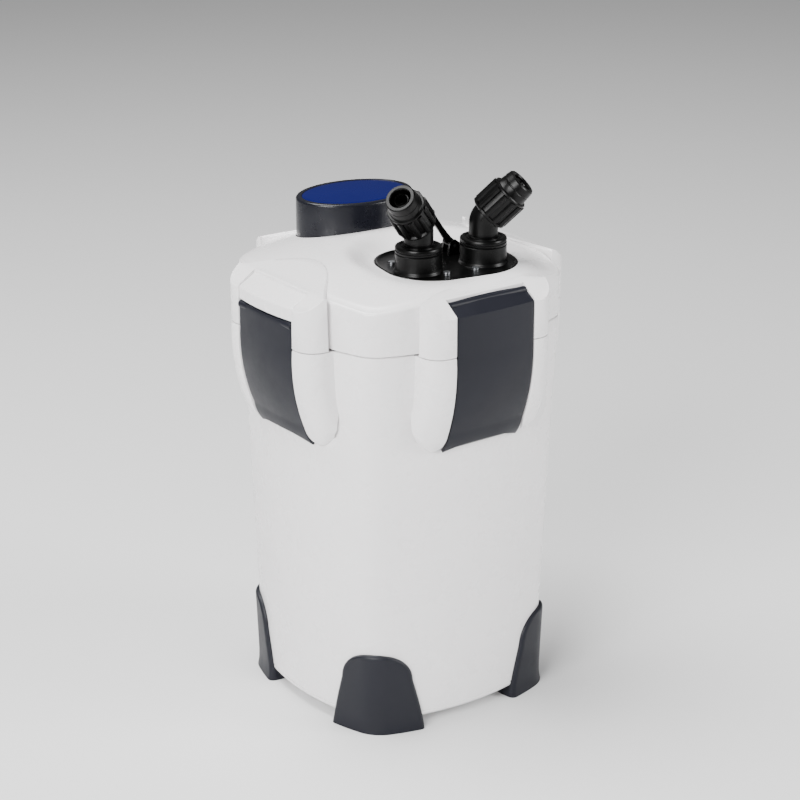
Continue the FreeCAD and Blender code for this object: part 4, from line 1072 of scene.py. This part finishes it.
nutSize = {
    "start": 5.0, "bodyEnd": 32.5, "radius": 15.4, "sleeveEnd": 45.5, "sleeve": 14.2, "tip": 12.9,
    "bore": 8.8, "counterbore": 13.4, "ribs": 11, "rib": 2.5, "ribStart": 7.6, "ribLength": 22.4,
}


def nutTree():
    # ribs set round a turned nut; sizes arrive in metres
    tree = bpy.data.node_groups.new("ribbedNut", "GeometryNodeTree")
    tree.interface.new_socket("Geometry", in_out="INPUT", socket_type="NodeSocketGeometry")
    for name, kind in (("Ribs", "NodeSocketInt"), ("Rib Height", "NodeSocketFloat"),
                       ("Rib Length", "NodeSocketFloat"), ("Radius", "NodeSocketFloat"),
                       ("Start", "NodeSocketFloat")):
        tree.interface.new_socket(name, in_out="INPUT", socket_type=kind)
    tree.interface.new_socket("Material", in_out="INPUT", socket_type="NodeSocketMaterial")
    tree.interface.new_socket("Geometry", in_out="OUTPUT", socket_type="NodeSocketGeometry")
    given = addNode(tree, "NodeGroupInput").outputs
    ring = addNode(tree, "GeometryNodeMeshCircle", {"Vertices": given["Ribs"], "Radius": given["Radius"]})
    rib = addNode(tree, "GeometryNodeMeshCylinder", {"Vertices": 10, "Radius": given["Rib Height"],
                                                     "Depth": given["Rib Length"]})
    halfLength = addNode(tree, "ShaderNodeMath", {0: given["Rib Length"], 1: 0.5}, operation="MULTIPLY")
    middle = addNode(tree, "ShaderNodeMath", {0: halfLength.outputs[0], 1: given["Start"]}, operation="ADD")
    lift = addNode(tree, "ShaderNodeCombineXYZ", {"Z": middle.outputs[0]})
    ends = addNode(tree, "GeometryNodeTransform", {"Geometry": rib.outputs["Mesh"],
                                                   "Translation": lift.outputs[0]})
    ribs = addNode(tree, "GeometryNodeInstanceOnPoints", {"Points": ring.outputs["Mesh"],
                                                          "Instance": ends.outputs["Geometry"]})
    joined = addNode(tree, "GeometryNodeJoinGeometry")
    tree.links.new(given["Geometry"], joined.inputs[0])
    tree.links.new(ribs.outputs[0], joined.inputs[0])
    real = addNode(tree, "GeometryNodeRealizeInstances", {"Geometry": joined.outputs[0]})
    coated = addNode(tree, "GeometryNodeSetMaterial", {"Geometry": real.outputs[0],
                                                       "Material": given["Material"]})
    addNode(tree, "NodeGroupOutput", {"Geometry": coated.outputs[0]})
    return tree


def throughTree(mesh, tree, inputs):
    # runs a mesh through a tree and hands back the plain result
    carrier = inScene("carrier", mesh)
    modifier = carrier.modifiers.new("nodes", "NODES")
    modifier.node_group = tree
    for item in tree.interface.items_tree:
        if item.in_out == "INPUT" and item.name in inputs:
            modifier[item.identifier] = inputs[item.name]
    result = evaluatedMesh(carrier)
    bpy.data.objects.remove(carrier)
    return result


def nutBody():
    # turned nut: rear lip, barrel, front lip, then the tapered sleeve with its groove
    size = nutSize
    start, end, radius, bore = size["start"], size["bodyEnd"], size["radius"], size["bore"]
    counter, sleeve, tip, last = size["counterbore"], size["sleeve"], size["tip"], size["sleeveEnd"]
    return latheRing([(bore, start + 5.5), (counter, start + 5.5), (counter, start + 0.4),
                      (counter + 0.4, start), (radius + 0.6, start), (radius + 1.8, start + 0.8),
                      (radius + 1.8, start + 2.4), (radius, start + 3.2), (radius, end - 2.6),
                      (radius + 1.2, end - 2.0), (radius + 1.2, end - 0.6), (radius + 0.6, end),
                      (sleeve + 0.3, end), (sleeve, end + 0.5), (sleeve - 0.5, end + 5.4),
                      (sleeve - 0.9, end + 5.8), (sleeve - 0.9, end + 6.6), (sleeve - 0.5, end + 7.0),
                      (tip, last - 1.0), (tip - 0.9, last), (bore + 0.8, last), (bore, last - 0.9)], 72)


ribbedNut = nutTree()
for side in ("left", "right"):
    sign = -1 if side == "left" else 1
    pieceFrom(f"collarCap_{side}", [collarCap(sign)], "blackPom", "housing",
              [f"collar_ring_{side}"], 32)
    pieceFrom(f"hoseElbow_{side}", [moved(elbowTube(headings[side]), collarSpot(sign))], "blackPom",
              f"elbow_{side}", [f"elbow_{side}"], 32)
    mesh = throughTree(meshFrom("plain", [nutBody()]), ribbedNut, {
        "Ribs": nutSize["ribs"], "Rib Height": nutSize["rib"] * 0.001,
        "Rib Length": nutSize["ribLength"] * 0.001, "Radius": nutSize["radius"] * 0.001,
        "Start": nutSize["ribStart"] * 0.001, "Material": finish["blackPom"]})
    mesh.transform(legFrame(side))
    finishPiece(f"hoseNut_{side}", mesh, "blackPom", f"nut_{side}",
                [f"hose_nut_{side}"], 32)


def leverArm():
    # hub, tapering arm and rounded finger end
    size = leverSize
    lean = Matrix.Rotation(math.radians(-size["lean"]), 3, "Y")
    rings = []
    for share in (i / 12 for i in range(13)):
        along = share * size["length"]
        half = 3.4 - 0.9 * math.sin(math.pi * share)
        deep = size["half"] * (1 - 0.12 * share)
        if share == 1:
            half, deep = half * 0.6, deep * 0.8
        rings.append([(half * math.copysign(abs(math.cos(a)) ** 0.6, math.cos(a)),
                       deep * math.copysign(abs(math.sin(a)) ** 0.5, math.sin(a)), along)
                      for a in roundAngles(24)])
    grip = [[(3.9 * math.cos(a), y, size["length"] - 1 + 3.4 * math.sin(a)) for a in roundAngles(24)]
            for y in (-3.9, -3.2, 3.2, 3.9)]
    arm = moved(loft(rings), (size["x"], size["y"], size["z"]), lean)
    end = moved(loft(grip), (size["x"], size["y"], size["z"]), lean)
    half, radius, bore = size["half"], size["hub"], size["pin"] + 0.1
    hub = loft([[(size["x"] + r * math.cos(a), size["y"] + y, size["z"] + r * math.sin(a))
                 for a in roundAngles(28)]
                for y, r in ((-half, bore), (-half, radius - 0.5), (-half + 0.4, radius),
                             (half - 0.4, radius), (half, radius - 0.5), (half, bore))])
    return [tapPlaced(part) for part in (arm, end, hub)]


pieceFrom("releaseLever", leverArm(), "blackPom", "lever", ["release_lever"], 32)
print("taps made")
